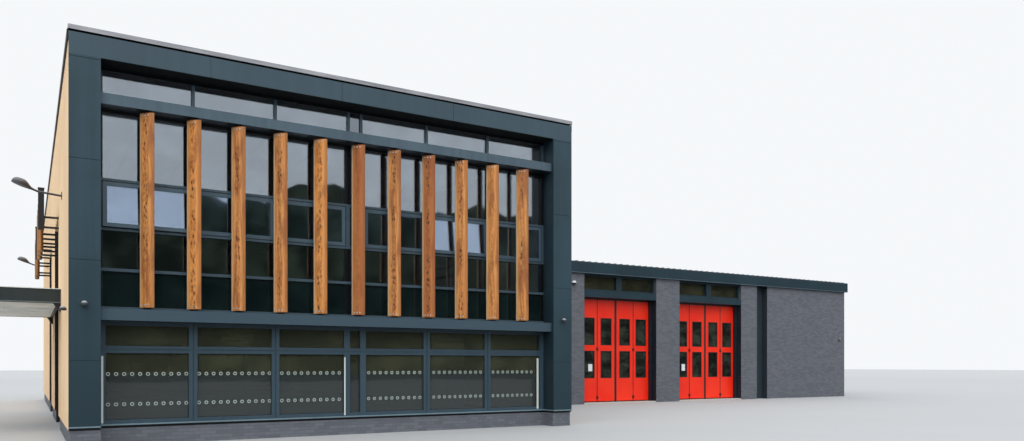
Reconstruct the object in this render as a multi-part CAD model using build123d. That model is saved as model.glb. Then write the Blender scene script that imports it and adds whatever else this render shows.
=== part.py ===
"""Two-storey fire station: an office block with a timber-finned glass front, and a brick appliance hall.

X runs along the front from left to right, Y into the building, Z up. Lengths are in millimetres.
The sizes are set out from the front left corner of the office block, at ground level.
The finished pieces are then moved so that the origin is under the middle of the whole building.
"""

import math
import os

from build123d import *

# Office block, front elevation
LEFT_PIER_WIDTH = 550
RIGHT_PIER_WIDTH = 585
BAY_WIDTH = 1727
BAYS_PER_SIDE = 3
COLUMN_WIDTH = 248
FIRST_BAY_EXTRA = 50
PIER_JOINTS = 4
PIER_JOINT_PITCH = 1950
PIER_TOP_JOINT_DROP = 50
CLADDING_JOINT = 10
RECESS = 480
CLADDING_RETURN = 50
FASCIA_HEIGHT = 420
FASCIA_JOINTS = 3
FASCIA_FIRST_JOINT = 2585
FASCIA_JOINT_PITCH = 2830
SOFFIT_BOARD = 12
CLERESTORY_HEIGHT = 620
BEAM_FRONT = 100
UPPER_BEAM_HEIGHT = 215
LOWER_BEAM_BOTTOM = 2505
LOWER_BEAM_HEIGHT = 230

# Office block, body
BLOCK_DEPTH = 26000
WALL = 300
WALL_TOP = 8020
COPING_GAP = 40
COPING_THICKNESS = 90
COPING_OVERHANG = 12
COPING_PACKER_INSET = 40
COPING_JOINT = 8
PLINTH_TOP = 350
PLINTH_INSET = 35
BASE_GAP = 40
FLASHING = 40
FLASHING_LIP = 20
SILL_LIP = 40
GROUND_FLOOR_TOP = 60
FIRST_FLOOR_BOTTOM = 2600
FIRST_FLOOR_TOP = 2900
ROOF_THICKNESS = 300

# Window frames and glass
CAP_DEPTH = 46
GLASS = 28
MULLION_DEPTH = 80
BAR = 60
COLUMN_JAMB = 110
SASH_REBATE = 15
GROUND_JAMB = 120
GROUND_COLUMN_JAMB = 145
GROUND_MULLION = 170
GROUND_RAIL = 80
GROUND_TRANSOM_CENTRE = 1935
GROUND_TRANSOM_HEIGHT = 145
COUPLING_GROOVE = (24, 16)
SPANDREL_TOP = 3540
SASH_BOTTOM = 4362
SASH_TOP = 5345
SASH_BAR = 80
SASH_CLEARANCE = 6
SASH_OPENING_DEG = 3.5
OPEN_SASHES = (0, 4)

# Timber fins of the front
FIN_COUNT = 11
FIN_PITCH = 896
FIN_CHORD = 335
FIN_THICKNESS = 100
FIN_TURN_DEG = 45
FIN_END_GAP = 45
FIN_PLATE = 10
FIN_PLATE_WIDTH = 180
FIN_PLATE_REACH = 220
FIN_FOOT = (200, 70)
FIN_SLOT_CLEARANCE = 0.3
FIN_SET_FORWARD = 90

# Tall glazed slots in the side walls
SLOTS = ((5600, 8600, 5400), (12100, 14700, 5300))
SLOT_SETBACK = 140
SLOT_TRANSOMS = (2400, 3500)
SIDE_FIN_PITCH = 900
SIDE_FIN_OFFSET = 380
SIDE_FIN_SECTION = (130, 370)
SIDE_FIN_SPAN = (4520, 5700)
SIDE_FIN_ARMS = (4620, 4940)
SIDE_ARM_HEIGHT = 50
SIDE_ARM_WIDTH = 30
POST_SPAN = (4950, 5950)
POST_ARMS = (4990, 5240)
POST_SIZE = 130
POST_CAP = (145, 25)
POST_FROM_SLOT = 250

# Rear windows of the office block
REAR_WINDOWS = 4
REAR_WINDOW_WIDTH = 1740
REAR_WINDOW_PITCH = 2700
REAR_SILLS = (900, 3800)
REAR_WINDOW_HEIGHT = 1390

# Entrance canopy
CANOPY_START = 4000
CANOPY_LENGTH = 6600
CANOPY_REACH = 2400
CANOPY_BOTTOM = 3060
CANOPY_HEIGHT = 330
CANOPY_BEAM = 80
CANOPY_RAFTERS = 6
CANOPY_RAFTER = (50, 120)
CANOPY_SHEET = 20
CANOPY_CORBEL = (160, 220)

# Lamps
LAMP_PLACES = ((3300, 5450), (16700, 5250))
LAMP_ARM_RADIUS = 24
LAMP_ARM_REACH = 455
LAMP_ARM_RISE = 45
LAMP_NECK_LENGTH = 90
LAMP_HEAD_LENGTH = 460
LAMP_HEAD_WIDTH = 260
LAMP_TILT_DEG = 21
LAMP_PLATE = (14, 120, 160)
LIGHT_RADIUS = 62
LIGHT_STANDOFF = 70
LIGHT_STEM_RADIUS = 20
PIER_LIGHT_INSETS = (265, 292)
PIER_LIGHT_HEIGHT = 2795
SIDE_LIGHT = (800, 2740)
HALL_CAMERA_INSET = 550
HALL_CAMERA_HEIGHT = 4970
HALL_LIGHT_INSET = 430
HALL_LIGHT_HEIGHT = 2920

# Appliance hall
HALL_FRONT = 9070
HALL_END = 35715
HALL_DEPTH = 15000
HALL_WALL = 350
HALL_FASCIA_BOTTOM = 5400
HALL_FASCIA_TOP = 5850
HALL_FASCIA_PROJECTION = 120
HALL_ROOF_PITCH_DEG = 4
HALL_ROOF_EDGE = 20
HALL_ROOF_LAP = 20
DOOR_START = 18930
DOOR_WIDTH = 3900
DOOR_PITCH = 5265
DOOR_COUNT = 2
DOOR_JAMB = 107
JAMB_SETBACK = 250
REVEAL_LINING = 10
LINTEL_BOTTOM = 4440
LINTEL_TOP = 4710
HIGH_WINDOW_SETBACK = 160
HIGH_WINDOW_DEPTH = 120
HIGH_WINDOW_BAR = 75
HIGH_WINDOW_POST = 150
RECESS_START = 29155
RECESS_WIDTH = 720
RECESS_DEPTH = 300
PIPE_RADIUS = 50
PIPE_INSET = 240

# Folding doors
DOOR_SETBACK = 400
LEAF_THICKNESS = 60
LEAF_GAP = 10
LEAVES = 4
INNER_LEAF_EXTRA = 85
MEETING_GAP = 76
SEAL_SLIT = 4
SEAL_DEPTH = 44
LEAF_BOTTOM = 90
LEAF_HEAD_GAP = 10
PIVOT_RADIUS = 14
LIGHT_WIDTH = 558
LOWER_LIGHT = (1077, 2209)
UPPER_LIGHT = (2471, 3600)
LIGHT_GLASS = 24
HINGE_LEVELS = (240, 2290)
HINGE_SIZE = (90, 30, 120)
THRESHOLD_TOP = 50

# Sizes worked out from those above
BAYS_WIDTH = BAYS_PER_SIDE * BAY_WIDTH
COLUMN_LEFT = LEFT_PIER_WIDTH + FIRST_BAY_EXTRA + BAYS_WIDTH
COLUMN_RIGHT = COLUMN_LEFT + COLUMN_WIDTH
FRONT_WIDTH = COLUMN_RIGHT + BAYS_WIDTH + RIGHT_PIER_WIDTH
GLASS_Y = RECESS + CAP_DEPTH
INNER_Y = GLASS_Y + GLASS
GLAZING_BACK = INNER_Y + MULLION_DEPTH
FASCIA_BOTTOM = WALL_TOP - FASCIA_HEIGHT
SOFFIT_BOTTOM = FASCIA_BOTTOM - SOFFIT_BOARD
UPPER_BEAM_TOP = SOFFIT_BOTTOM - CLERESTORY_HEIGHT
UPPER_BEAM_BOTTOM = UPPER_BEAM_TOP - UPPER_BEAM_HEIGHT
LOWER_BEAM_TOP = LOWER_BEAM_BOTTOM + LOWER_BEAM_HEIGHT
FLASHING_BOTTOM = PLINTH_TOP + BASE_GAP
SILL_TOP = FLASHING_BOTTOM + FLASHING
OPENING = (LEFT_PIER_WIDTH, FRONT_WIDTH - RIGHT_PIER_WIDTH)
REAR_INSIDE = BLOCK_DEPTH - WALL
RIGHT_INSIDE = FRONT_WIDTH - WALL
COPING_BOTTOM = WALL_TOP + COPING_GAP
COPING_TOP = COPING_BOTTOM + COPING_THICKNESS
HALL_REAR = HALL_FRONT + HALL_DEPTH
DOOR_PLANE = HALL_FRONT + DOOR_SETBACK

nodes = {}


def slab(x, y, z):
    """A box between two values on each axis."""
    size = [hi - lo for lo, hi in (x, y, z)]
    corner = Align.MIN
    return Pos(x[0], y[0], z[0]) * Box(*size, align=(corner, corner, corner))


def add(name, *solids):
    """Keeps the solids of one named piece."""
    nodes.setdefault(name, []).extend(solids)


def clear_spans(lines, first, between, last):
    """The gaps between bars on these lines: whole bars at both ends, and bars centred on the others."""
    starts = [lines[0] + first] + [line + between / 2 for line in lines[1:-1]]
    ends = [line - between / 2 for line in lines[1:-1]] + [lines[-1] - last]
    return list(zip(starts, ends))


def screen(x, levels, widths, rows, y):
    """A flat frame: a slab with an opening for each light."""
    return slab(x, y, levels) - [slab(width, y, row) for width in widths for row in rows]


def lattice(x_lines, z_lines, y, bar):
    """A flat frame with bars of one width along every line, the outer bars inside the outer lines."""
    widths = clear_spans(x_lines, bar, bar, bar)
    rows = clear_spans(z_lines, bar, bar, bar)
    return screen((x_lines[0], x_lines[-1]), (z_lines[0], z_lines[-1]), widths, rows, y)


def bay_lines(side):
    """The vertical glazing lines of the three bays left (0) or right (1) of the column."""
    start = COLUMN_RIGHT if side else COLUMN_LEFT - BAYS_WIDTH
    lines = [start + n * BAY_WIDTH for n in range(BAYS_PER_SIDE + 1)]
    if not side:
        lines[0] = OPENING[0]
    return lines


def bay_widths(side, pier_jamb, column_jamb, mullion):
    """The clear width of each light on one side of the column."""
    jambs = (column_jamb, pier_jamb) if side else (pier_jamb, column_jamb)
    return clear_spans(bay_lines(side), jambs[0], mullion, jambs[1])


def front_widths(pier_jamb, column_jamb, mullion):
    """The clear widths across the whole front, with the narrow light in front of the column."""
    left, right = (bay_widths(side, pier_jamb, column_jamb, mullion) for side in (0, 1))
    return [*left, (COLUMN_LEFT, COLUMN_RIGHT), *right]


def front_shell():
    """Two clad piers, the deep fascia that joins them, its soffit, and the two cross beams."""
    joints = [FASCIA_BOTTOM - PIER_TOP_JOINT_DROP - n * PIER_JOINT_PITCH for n in range(PIER_JOINTS)]
    for outer, inner in (
        ((0, OPENING[0]), (WALL, OPENING[0])),
        ((OPENING[1], FRONT_WIDTH), (OPENING[1], RIGHT_INSIDE)),
    ):
        levels = (SILL_TOP, FASCIA_BOTTOM)
        pier = slab(outer, (0, CLADDING_RETURN), levels)
        pier += slab(inner, (CLADDING_RETURN, GLAZING_BACK), levels)
        pier -= [slab(outer, (0, CLADDING_JOINT), (z, z + CLADDING_JOINT)) for z in joints]
        add("front_piers", pier)
    fascia = slab((0, FRONT_WIDTH), (0, CLADDING_RETURN), (FASCIA_BOTTOM, WALL_TOP))
    fascia += slab((WALL, RIGHT_INSIDE), (CLADDING_RETURN, WALL), (FASCIA_BOTTOM, WALL_TOP))
    for n in range(FASCIA_JOINTS):
        x = FASCIA_FIRST_JOINT + n * FASCIA_JOINT_PITCH
        fascia -= slab((x, x + CLADDING_JOINT), (0, CLADDING_JOINT), (FASCIA_BOTTOM, WALL_TOP))
    add("top_fascia", fascia)
    add("soffit", slab(OPENING, (SOFFIT_BOARD, GLAZING_BACK), (SOFFIT_BOTTOM, FASCIA_BOTTOM)))
    for levels in ((LOWER_BEAM_BOTTOM, LOWER_BEAM_TOP), (UPPER_BEAM_BOTTOM, UPPER_BEAM_TOP)):
        add("cross_beams", slab(OPENING, (BEAM_FRONT, GLAZING_BACK), levels))
    column = (COLUMN_LEFT, COLUMN_RIGHT)
    for levels in (
        (SILL_TOP, LOWER_BEAM_BOTTOM),
        (LOWER_BEAM_TOP, UPPER_BEAM_BOTTOM),
        (UPPER_BEAM_TOP, SOFFIT_BOTTOM),
    ):
        add("central_column", slab(column, (INNER_Y, GLAZING_BACK), levels))


def fin_section(plane_z):
    """The lens section of a fin, centred on the origin and turned about the vertical."""
    return Pos(0, 0, plane_z) * Rot(0, 0, -FIN_TURN_DEG) * Ellipse(FIN_CHORD / 2, FIN_THICKNESS / 2)


def fin_bracket(height_sign):
    """A foot plate with a knife plate that stands up into the slotted end of a fin."""
    foot = Box(FIN_FOOT[0], FIN_FOOT[1], FIN_PLATE, align=(Align.CENTER, Align.CENTER, Align.MIN))
    blade = Pos(0, 0, FIN_PLATE) * Box(
        FIN_PLATE_WIDTH, FIN_PLATE, FIN_PLATE_REACH, align=(Align.CENTER, Align.CENTER, Align.MIN)
    )
    bracket = Rot(0, 0, -FIN_TURN_DEG) * (foot + blade)
    return bracket if height_sign > 0 else mirror(bracket, about=Plane.XY)


def timber_fins():
    """Lens-shaped laminated timber fins between the beams, turned to shade the glass."""
    low = LOWER_BEAM_TOP + FIN_END_GAP
    high = UPPER_BEAM_BOTTOM - FIN_END_GAP
    centre_y = (BEAM_FRONT + RECESS) / 2 - FIN_SET_FORWARD
    first = sum(OPENING) / 2 - (FIN_COUNT - 1) * FIN_PITCH / 2
    slot_depth = FIN_PLATE + FIN_PLATE_REACH - FIN_END_GAP + FIN_SLOT_CLEARANCE
    slot = Box(
        FIN_PLATE_WIDTH + 2 * FIN_SLOT_CLEARANCE,
        FIN_PLATE + 2 * FIN_SLOT_CLEARANCE,
        2 * slot_depth,
    )
    fin = extrude(fin_section(low), high - low)
    for level in (low, high):
        fin -= Pos(0, 0, level) * Rot(0, 0, -FIN_TURN_DEG) * slot
    for n in range(FIN_COUNT):
        x = first + n * FIN_PITCH
        add("timber_fins", Pos(x, centre_y, 0) * fin)
        add("fin_brackets", Pos(x, centre_y, LOWER_BEAM_TOP) * fin_bracket(1))
        add("fin_brackets", Pos(x, centre_y, UPPER_BEAM_BOTTOM) * fin_bracket(-1))


def ground_glazing():
    """Ground-floor windows: a coupled frame across the front, a sheet of glass and the inner frames."""
    sizes = (GROUND_JAMB, GROUND_COLUMN_JAMB, GROUND_MULLION)
    levels = (SILL_TOP, LOWER_BEAM_BOTTOM)
    lines = [levels[0], GROUND_TRANSOM_CENTRE, levels[1]]
    rows = clear_spans(lines, GROUND_RAIL, GROUND_TRANSOM_HEIGHT, GROUND_RAIL)
    frame = screen(OPENING, levels, front_widths(*sizes), rows, (RECESS, GLASS_Y))
    groove, depth = COUPLING_GROOVE
    face = (RECESS, RECESS + depth)
    for side in (0, 1):
        inner = bay_lines(side)
        for x in inner[1:-1]:
            frame -= slab((x - groove / 2, x + groove / 2), face, levels)
        back = screen(
            (inner[0], inner[-1]), levels, bay_widths(side, *sizes), rows, (INNER_Y, GLAZING_BACK)
        )
        add("ground_frame", back)
    z = GROUND_TRANSOM_CENTRE
    frame -= slab(OPENING, face, (z - groove / 2, z + groove / 2))
    add("ground_frame", frame)
    add("ground_glass", slab(OPENING, (GLASS_Y, INNER_Y), levels))


def sash(left, right, swing):
    """One top-hung sash with its pane, swung out at the bottom by an angle in degrees."""
    low = SASH_BOTTOM + BAR / 2 + SASH_CLEARANCE
    high = SASH_TOP - BAR / 2 - SASH_CLEARANCE
    width = (left + SASH_CLEARANCE, right - SASH_CLEARANCE)
    frame = lattice(list(width), [low, high], (RECESS, INNER_Y), SASH_BAR)
    pane_levels = (low + SASH_BAR, high - SASH_BAR)
    pane = slab((width[0] + SASH_BAR, width[1] - SASH_BAR), (GLASS_Y - GLASS, GLASS_Y), pane_levels)
    hinge = Axis((0, RECESS, high), (1, 0, 0))
    return frame.rotate(hinge, -swing), pane.rotate(hinge, -swing)


def upper_glazing():
    """First-floor windows: fixed lights over and under a row of sashes, and dark spandrel glass."""
    levels = (LOWER_BEAM_TOP, UPPER_BEAM_BOTTOM)
    lines = [levels[0], SPANDREL_TOP, SASH_BOTTOM, SASH_TOP, levels[1]]
    outer_y, inner_y, glass_y = (RECESS, GLASS_Y), (INNER_Y, GLAZING_BACK), (GLASS_Y, INNER_Y)
    rows = clear_spans(lines, BAR, BAR, BAR)
    add("upper_frame", screen(OPENING, levels, front_widths(BAR, COLUMN_JAMB, BAR), rows, outer_y))
    rebate = SASH_REBATE
    bar = BAR + 2 * rebate
    inner_rows = clear_spans(lines, bar, bar, bar)
    for side in (0, 1):
        ends = (bay_lines(side)[0], bay_lines(side)[-1])
        widths = bay_widths(side, BAR + rebate, COLUMN_JAMB + rebate, bar)
        add("upper_frame", screen(ends, levels, widths, inner_rows, inner_y))
        for n, (left, right) in enumerate(bay_widths(side, BAR, COLUMN_JAMB, BAR)):
            bay = side * BAYS_PER_SIDE + n
            frame, pane = sash(left, right, SASH_OPENING_DEG if bay in OPEN_SASHES else 0)
            add("sash_frames", frame)
            add("sash_glass", pane)
    add("spandrel_glass", slab(OPENING, glass_y, (LOWER_BEAM_TOP, SPANDREL_TOP)))
    add("upper_glass", slab(OPENING, glass_y, (SPANDREL_TOP, SASH_BOTTOM)))
    add("upper_glass", slab(OPENING, glass_y, (SASH_TOP, UPPER_BEAM_BOTTOM)))
    add("upper_glass", slab((COLUMN_LEFT, COLUMN_RIGHT), glass_y, (SASH_BOTTOM, SASH_TOP)))


def clerestory():
    """A shallow strip of windows between the upper beam and the soffit."""
    levels = (UPPER_BEAM_TOP, SOFFIT_BOTTOM)
    rows = clear_spans(levels, BAR, BAR, BAR)
    add("upper_frame", screen(OPENING, levels, front_widths(BAR, BAR, BAR), rows, (RECESS, GLASS_Y)))
    for side in (0, 1):
        ends = (bay_lines(side)[0], bay_lines(side)[-1])
        widths = bay_widths(side, BAR, BAR, BAR)
        add("upper_frame", screen(ends, levels, widths, rows, (INNER_Y, GLAZING_BACK)))
    add("upper_glass", slab(OPENING, (GLASS_Y, INNER_Y), levels))


def plinths():
    """Brick base courses, set back under the cladding and the render."""
    levels = (0, PLINTH_TOP)
    back = GLAZING_BACK
    add("pier_plinths", slab((WALL, OPENING[0]), (PLINTH_INSET, back), levels))
    add("pier_plinths", slab((OPENING[1], RIGHT_INSIDE), (PLINTH_INSET, back), levels))
    add("end_plinths", slab(OPENING, (RECESS, back), levels))
    add("end_plinths", slab((WALL, RIGHT_INSIDE), (REAR_INSIDE, BLOCK_DEPTH - PLINTH_INSET), levels))
    left = (PLINTH_INSET, WALL)
    right = (RIGHT_INSIDE, FRONT_WIDTH - PLINTH_INSET)
    ends = (PLINTH_INSET, BLOCK_DEPTH - PLINTH_INSET)
    for run in wall_runs(ends, SLOTS):
        add("side_plinths", slab(left, run, levels))
    for run in wall_runs(ends, SLOTS[:1]):
        add("side_plinths", slab(right, run, levels))


def wall_runs(ends, gaps):
    """The stretches of a wall between its ends that no gap interrupts."""
    edges = [ends[0]] + [value for gap in gaps for value in gap[:2]] + [ends[1]]
    return list(zip(edges[::2], edges[1::2]))


def side_walls():
    """Rendered side walls in full-height slabs, with a head over each tall slot."""
    ends = (CLADDING_RETURN, BLOCK_DEPTH)
    left = (0, WALL)
    right = (RIGHT_INSIDE, FRONT_WIDTH)
    for name, x, gaps in (("left_wall", left, SLOTS), ("right_wall", right, SLOTS[:1])):
        for run in wall_runs(ends, gaps):
            add(name, slab(x, run, (PLINTH_TOP, WALL_TOP)))
        for start, end, head in gaps:
            add("slot_heads", slab(x, (start, end), (head, WALL_TOP)))


def rear_wall():
    """Rendered rear wall: bands below, between and above two rows of windows, and piers between."""
    x = (WALL, RIGHT_INSIDE)
    y = (REAR_INSIDE, BLOCK_DEPTH)
    tops = [sill + REAR_WINDOW_HEIGHT for sill in REAR_SILLS]
    for band in ((PLINTH_TOP, REAR_SILLS[0]), (tops[0], REAR_SILLS[1]), (tops[1], WALL_TOP)):
        add("rear_wall", slab(x, y, band))
    first = FRONT_WIDTH / 2 - (REAR_WINDOWS - 1) * REAR_WINDOW_PITCH / 2
    centres = [first + n * REAR_WINDOW_PITCH for n in range(REAR_WINDOWS)]
    gaps = [(c - REAR_WINDOW_WIDTH / 2, c + REAR_WINDOW_WIDTH / 2) for c in centres]
    pane_y = y[0] + WALL / 2
    for low, high in zip(REAR_SILLS, tops):
        for run in wall_runs(x, gaps):
            add("rear_piers", slab(run, y, (low, high)))
        for left, right in gaps:
            lines = [left, (left + right) / 2, right]
            add("rear_frames", lattice(lines, [low, high], (pane_y, pane_y + CAP_DEPTH), BAR))
            add("rear_glass", slab((left, right), (pane_y - GLASS, pane_y), (low, high)))


def floors_and_roof():
    """Ground slab, first floor and flat roof deck inside the walls."""
    x = (WALL, RIGHT_INSIDE)
    y = (GLAZING_BACK, REAR_INSIDE)
    add("ground_floor", slab(x, y, (0, GROUND_FLOOR_TOP)))
    add("first_floor", slab(x, y, (FIRST_FLOOR_BOTTOM, FIRST_FLOOR_TOP)))
    add("roof_deck", slab(x, (WALL, REAR_INSIDE), (FASCIA_BOTTOM, FASCIA_BOTTOM + ROOF_THICKNESS)))


def coping_run(x, y):
    """One length of coping on its recessed packer; each side of the box is moved in for the packer."""
    inset = COPING_OVERHANG + COPING_PACKER_INSET
    cap = slab(x, y, (COPING_BOTTOM, COPING_TOP))
    packer = slab((x[0] + inset, x[1] - inset), (y[0] + inset, y[1] - inset), (WALL_TOP, COPING_BOTTOM))
    return cap + packer


def copings():
    """Metal wall copings in four lengths that meet at open joints."""
    out = COPING_OVERHANG
    left, right = -out, FRONT_WIDTH + out
    front, rear = -out, BLOCK_DEPTH + out
    width = WALL + 2 * out
    add("coping", coping_run((left, right), (front, front + width)))
    add("coping", coping_run((left, right), (rear - width, rear)))
    side = (front + width + COPING_JOINT, rear - width - COPING_JOINT)
    add("coping", coping_run((left, left + width), side))
    add("coping", coping_run((right - width, right), side))


def flashings():
    """Pale drips over a shadow gap: under each pier's cladding and along the foot of the windows."""
    drip = (FLASHING_BOTTOM, SILL_TOP)
    gap = (PLINTH_TOP, FLASHING_BOTTOM)
    behind = (CLADDING_RETURN, GLAZING_BACK)
    for outer, inner in (
        ((0, OPENING[0]), (WALL, OPENING[0])),
        ((OPENING[1], FRONT_WIDTH), (OPENING[1], RIGHT_INSIDE)),
    ):
        plate = slab(outer, (-FLASHING_LIP, CLADDING_RETURN), drip) + slab(inner, behind, drip)
        add("flashings", plate + slab(inner, behind, gap))
    sill = slab(OPENING, (RECESS - SILL_LIP, GLAZING_BACK), drip)
    add("flashings", sill + slab(OPENING, (RECESS + FLASHING_LIP, GLAZING_BACK), gap))


def side_slots():
    """Tall glazed screens in the side walls, from the ground to above the first-floor windows."""
    for x, gaps, outward in (((0, WALL), SLOTS, -1), ((RIGHT_INSIDE, FRONT_WIDTH), SLOTS[:1], 1)):
        face = x[0] + SLOT_SETBACK if outward < 0 else x[1] - SLOT_SETBACK
        for start, end, head in gaps:
            middle = (start + end) / 2
            arm_lines = [level + SIDE_ARM_HEIGHT / 2 for level in SIDE_FIN_ARMS]
            levels = [0, *SLOT_TRANSOMS, *arm_lines, head]
            outer = lattice([start, middle, end], levels, (0, CAP_DEPTH), BAR)
            inner = slab((start, end), (0, GLASS), (0, head))
            turn = Rot(0, 0, 90)
            frame = Pos(face, 0, 0) * turn * outer
            pane = Pos(face, 0, 0) * turn * inner
            if outward < 0:
                frame = Pos(CAP_DEPTH, 0, 0) * frame
                pane = Pos(CAP_DEPTH + GLASS, 0, 0) * pane
            else:
                pane = Pos(-CAP_DEPTH, 0, 0) * pane
            add("slot_frames", frame)
            add("slot_glass", pane)


def arm(y, z, outside, inside):
    """A flat steel arm between two distances from the wall face, which is at zero."""
    across = (y - SIDE_ARM_WIDTH / 2, y + SIDE_ARM_WIDTH / 2)
    return slab((outside, inside), across, (z, z + SIDE_ARM_HEIGHT))


def side_fins():
    """Timber fins across the top of each slot, each on two arms from the transoms of the slot's frame."""
    low, high = SIDE_FIN_SPAN
    wide, deep = SIDE_FIN_SECTION
    fin = extrude(Pos(0, 0, low) * Ellipse(wide / 2, deep / 2), high - low)
    for start, end, _ in SLOTS:
        count = int((end - start) // SIDE_FIN_PITCH)
        first = (start + end) / 2 - (count - 1) * SIDE_FIN_PITCH / 2
        for n in range(count):
            y = first + n * SIDE_FIN_PITCH
            add("side_fins", Pos(-SIDE_FIN_OFFSET, y, 0) * fin)
            for level in SIDE_FIN_ARMS:
                add("side_brackets", arm(y, level, wide / 2 - SIDE_FIN_OFFSET, SLOT_SETBACK))


def side_posts():
    """A short capped steel post beside each slot, on two arms from the wall."""
    low, high = POST_SPAN
    half, cap_half = POST_SIZE / 2, POST_CAP[0] / 2
    for start, _, _ in SLOTS:
        y = start - POST_FROM_SLOT
        post = slab((-half, half), (-half, half), (low, high))
        post += slab((-cap_half, cap_half), (-cap_half, cap_half), (high, high + POST_CAP[1]))
        add("side_posts", Pos(-SIDE_FIN_OFFSET, y, 0) * post)
        for level in POST_ARMS:
            add("side_brackets", arm(y, level, half - SIDE_FIN_OFFSET, 0))


def canopy():
    """Flat entrance canopy on the left wall: edge beams, rafters, a clear sheet and wall corbels."""
    x = (-CANOPY_REACH, 0)
    y = (CANOPY_START, CANOPY_START + CANOPY_LENGTH)
    z = (CANOPY_BOTTOM, CANOPY_BOTTOM + CANOPY_HEIGHT)
    inside = slab(
        (x[0] + CANOPY_BEAM, x[1] - CANOPY_BEAM), (y[0] + CANOPY_BEAM, y[1] - CANOPY_BEAM), z
    )
    frame = slab(x, y, z) - inside
    clear = CANOPY_LENGTH - 2 * CANOPY_BEAM
    for n in range(1, CANOPY_RAFTERS + 1):
        centre = y[0] + CANOPY_BEAM + n * clear / (CANOPY_RAFTERS + 1)
        rafter_y = (centre - CANOPY_RAFTER[0] / 2, centre + CANOPY_RAFTER[0] / 2)
        frame += slab(x, rafter_y, (z[1] - CANOPY_RAFTER[1], z[1]))
    for start in (y[0], y[1] - CANOPY_BEAM):
        corbel = Plane.XZ * make_face(
            Polyline((0, z[0]), (-CANOPY_CORBEL[0], z[0]), (0, z[0] - CANOPY_CORBEL[1]), close=True)
        )
        add("canopy_corbels", Pos(0, start + CANOPY_BEAM, 0) * extrude(corbel, CANOPY_BEAM))
    add("canopy_frame", frame)
    add("canopy_sheet", slab(x, y, (z[1], z[1] + CANOPY_SHEET)))


def lamp_head():
    """A domed lamp head with a flat underside; its neck end is at the origin and it points along +X."""
    half = LAMP_HEAD_WIDTH / 2
    length = LAMP_HEAD_LENGTH
    widest = (length * 3 / 5, half)
    back = Spline((0, LAMP_ARM_RADIUS), widest, tangents=[(1, 0), (1, 0)])
    nose = Spline(widest, (length, 0), tangents=[(1, 0), (0, -1)])
    outline = make_face(back + nose + Polyline((length, 0), (0, 0), (0, LAMP_ARM_RADIUS)))
    dome = revolve(outline, Axis.X)
    below = (-length, 2 * length), (-length, length), (-length, -LAMP_ARM_RADIUS)
    return dome - slab(*below)


def lamp(y, z):
    """A street lamp on the left wall: a wall plate, a slightly raked arm, a tilted neck and its head."""
    thick, wide, tall = LAMP_PLATE
    plate = Pos(-thick / 2, 0, 0) * Box(thick, wide, tall)
    elbow = Vector(-LAMP_ARM_REACH, 0, LAMP_ARM_RISE)
    tilt = math.radians(LAMP_TILT_DEG)
    neck = Vector(-math.cos(tilt), 0, math.sin(tilt)) * LAMP_NECK_LENGTH
    tube = Sphere(LAMP_ARM_RADIUS).moved(Location(elbow))
    for start, end in ((Vector(-thick, 0, 0), elbow), (elbow, elbow + neck)):
        tube += extrude(Plane(start, z_dir=end - start) * Circle(LAMP_ARM_RADIUS), (end - start).length)
    head = Location(elbow + neck) * Rot(0, LAMP_TILT_DEG, 0) * Rot(0, 0, 180) * lamp_head()
    return Pos(0, y, z) * (plate + tube + head)


def wall_light():
    """A small bulkhead light: a half-round body on a short stem, facing -Y from the origin."""
    stem = Rot(90, 0, 0) * Cylinder(
        LIGHT_STEM_RADIUS, LIGHT_STANDOFF, align=(Align.CENTER, Align.CENTER, Align.MIN)
    )
    body = Pos(0, -LIGHT_STANDOFF, 0) * Sphere(LIGHT_RADIUS)
    body &= Pos(0, -LIGHT_STANDOFF, LIGHT_RADIUS / 2) * Box(
        2 * LIGHT_RADIUS, 2 * LIGHT_RADIUS, 2 * LIGHT_RADIUS
    )
    return stem + body


def lamps():
    """Lamps on the left wall, and bulkhead lights on the piers and the hall."""
    for y, z in LAMP_PLACES:
        add("outside_lights", lamp(y, z))
    places = (
        (PIER_LIGHT_INSETS[0], 0, PIER_LIGHT_HEIGHT),
        (FRONT_WIDTH - PIER_LIGHT_INSETS[1], 0, PIER_LIGHT_HEIGHT),
        (DOOR_START - HALL_CAMERA_INSET, HALL_FRONT, HALL_CAMERA_HEIGHT),
        (HALL_END - HALL_LIGHT_INSET, HALL_FRONT, HALL_LIGHT_HEIGHT),
    )
    for place in places:
        add("outside_lights", Pos(*place) * wall_light())
    turned = Rot(0, 0, -90) * wall_light()
    add("outside_lights", Pos(0, SIDE_LIGHT[0], SIDE_LIGHT[1]) * turned)


def door_starts():
    """The left edge of each appliance doorway."""
    return [DOOR_START + n * DOOR_PITCH for n in range(DOOR_COUNT)]


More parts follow.
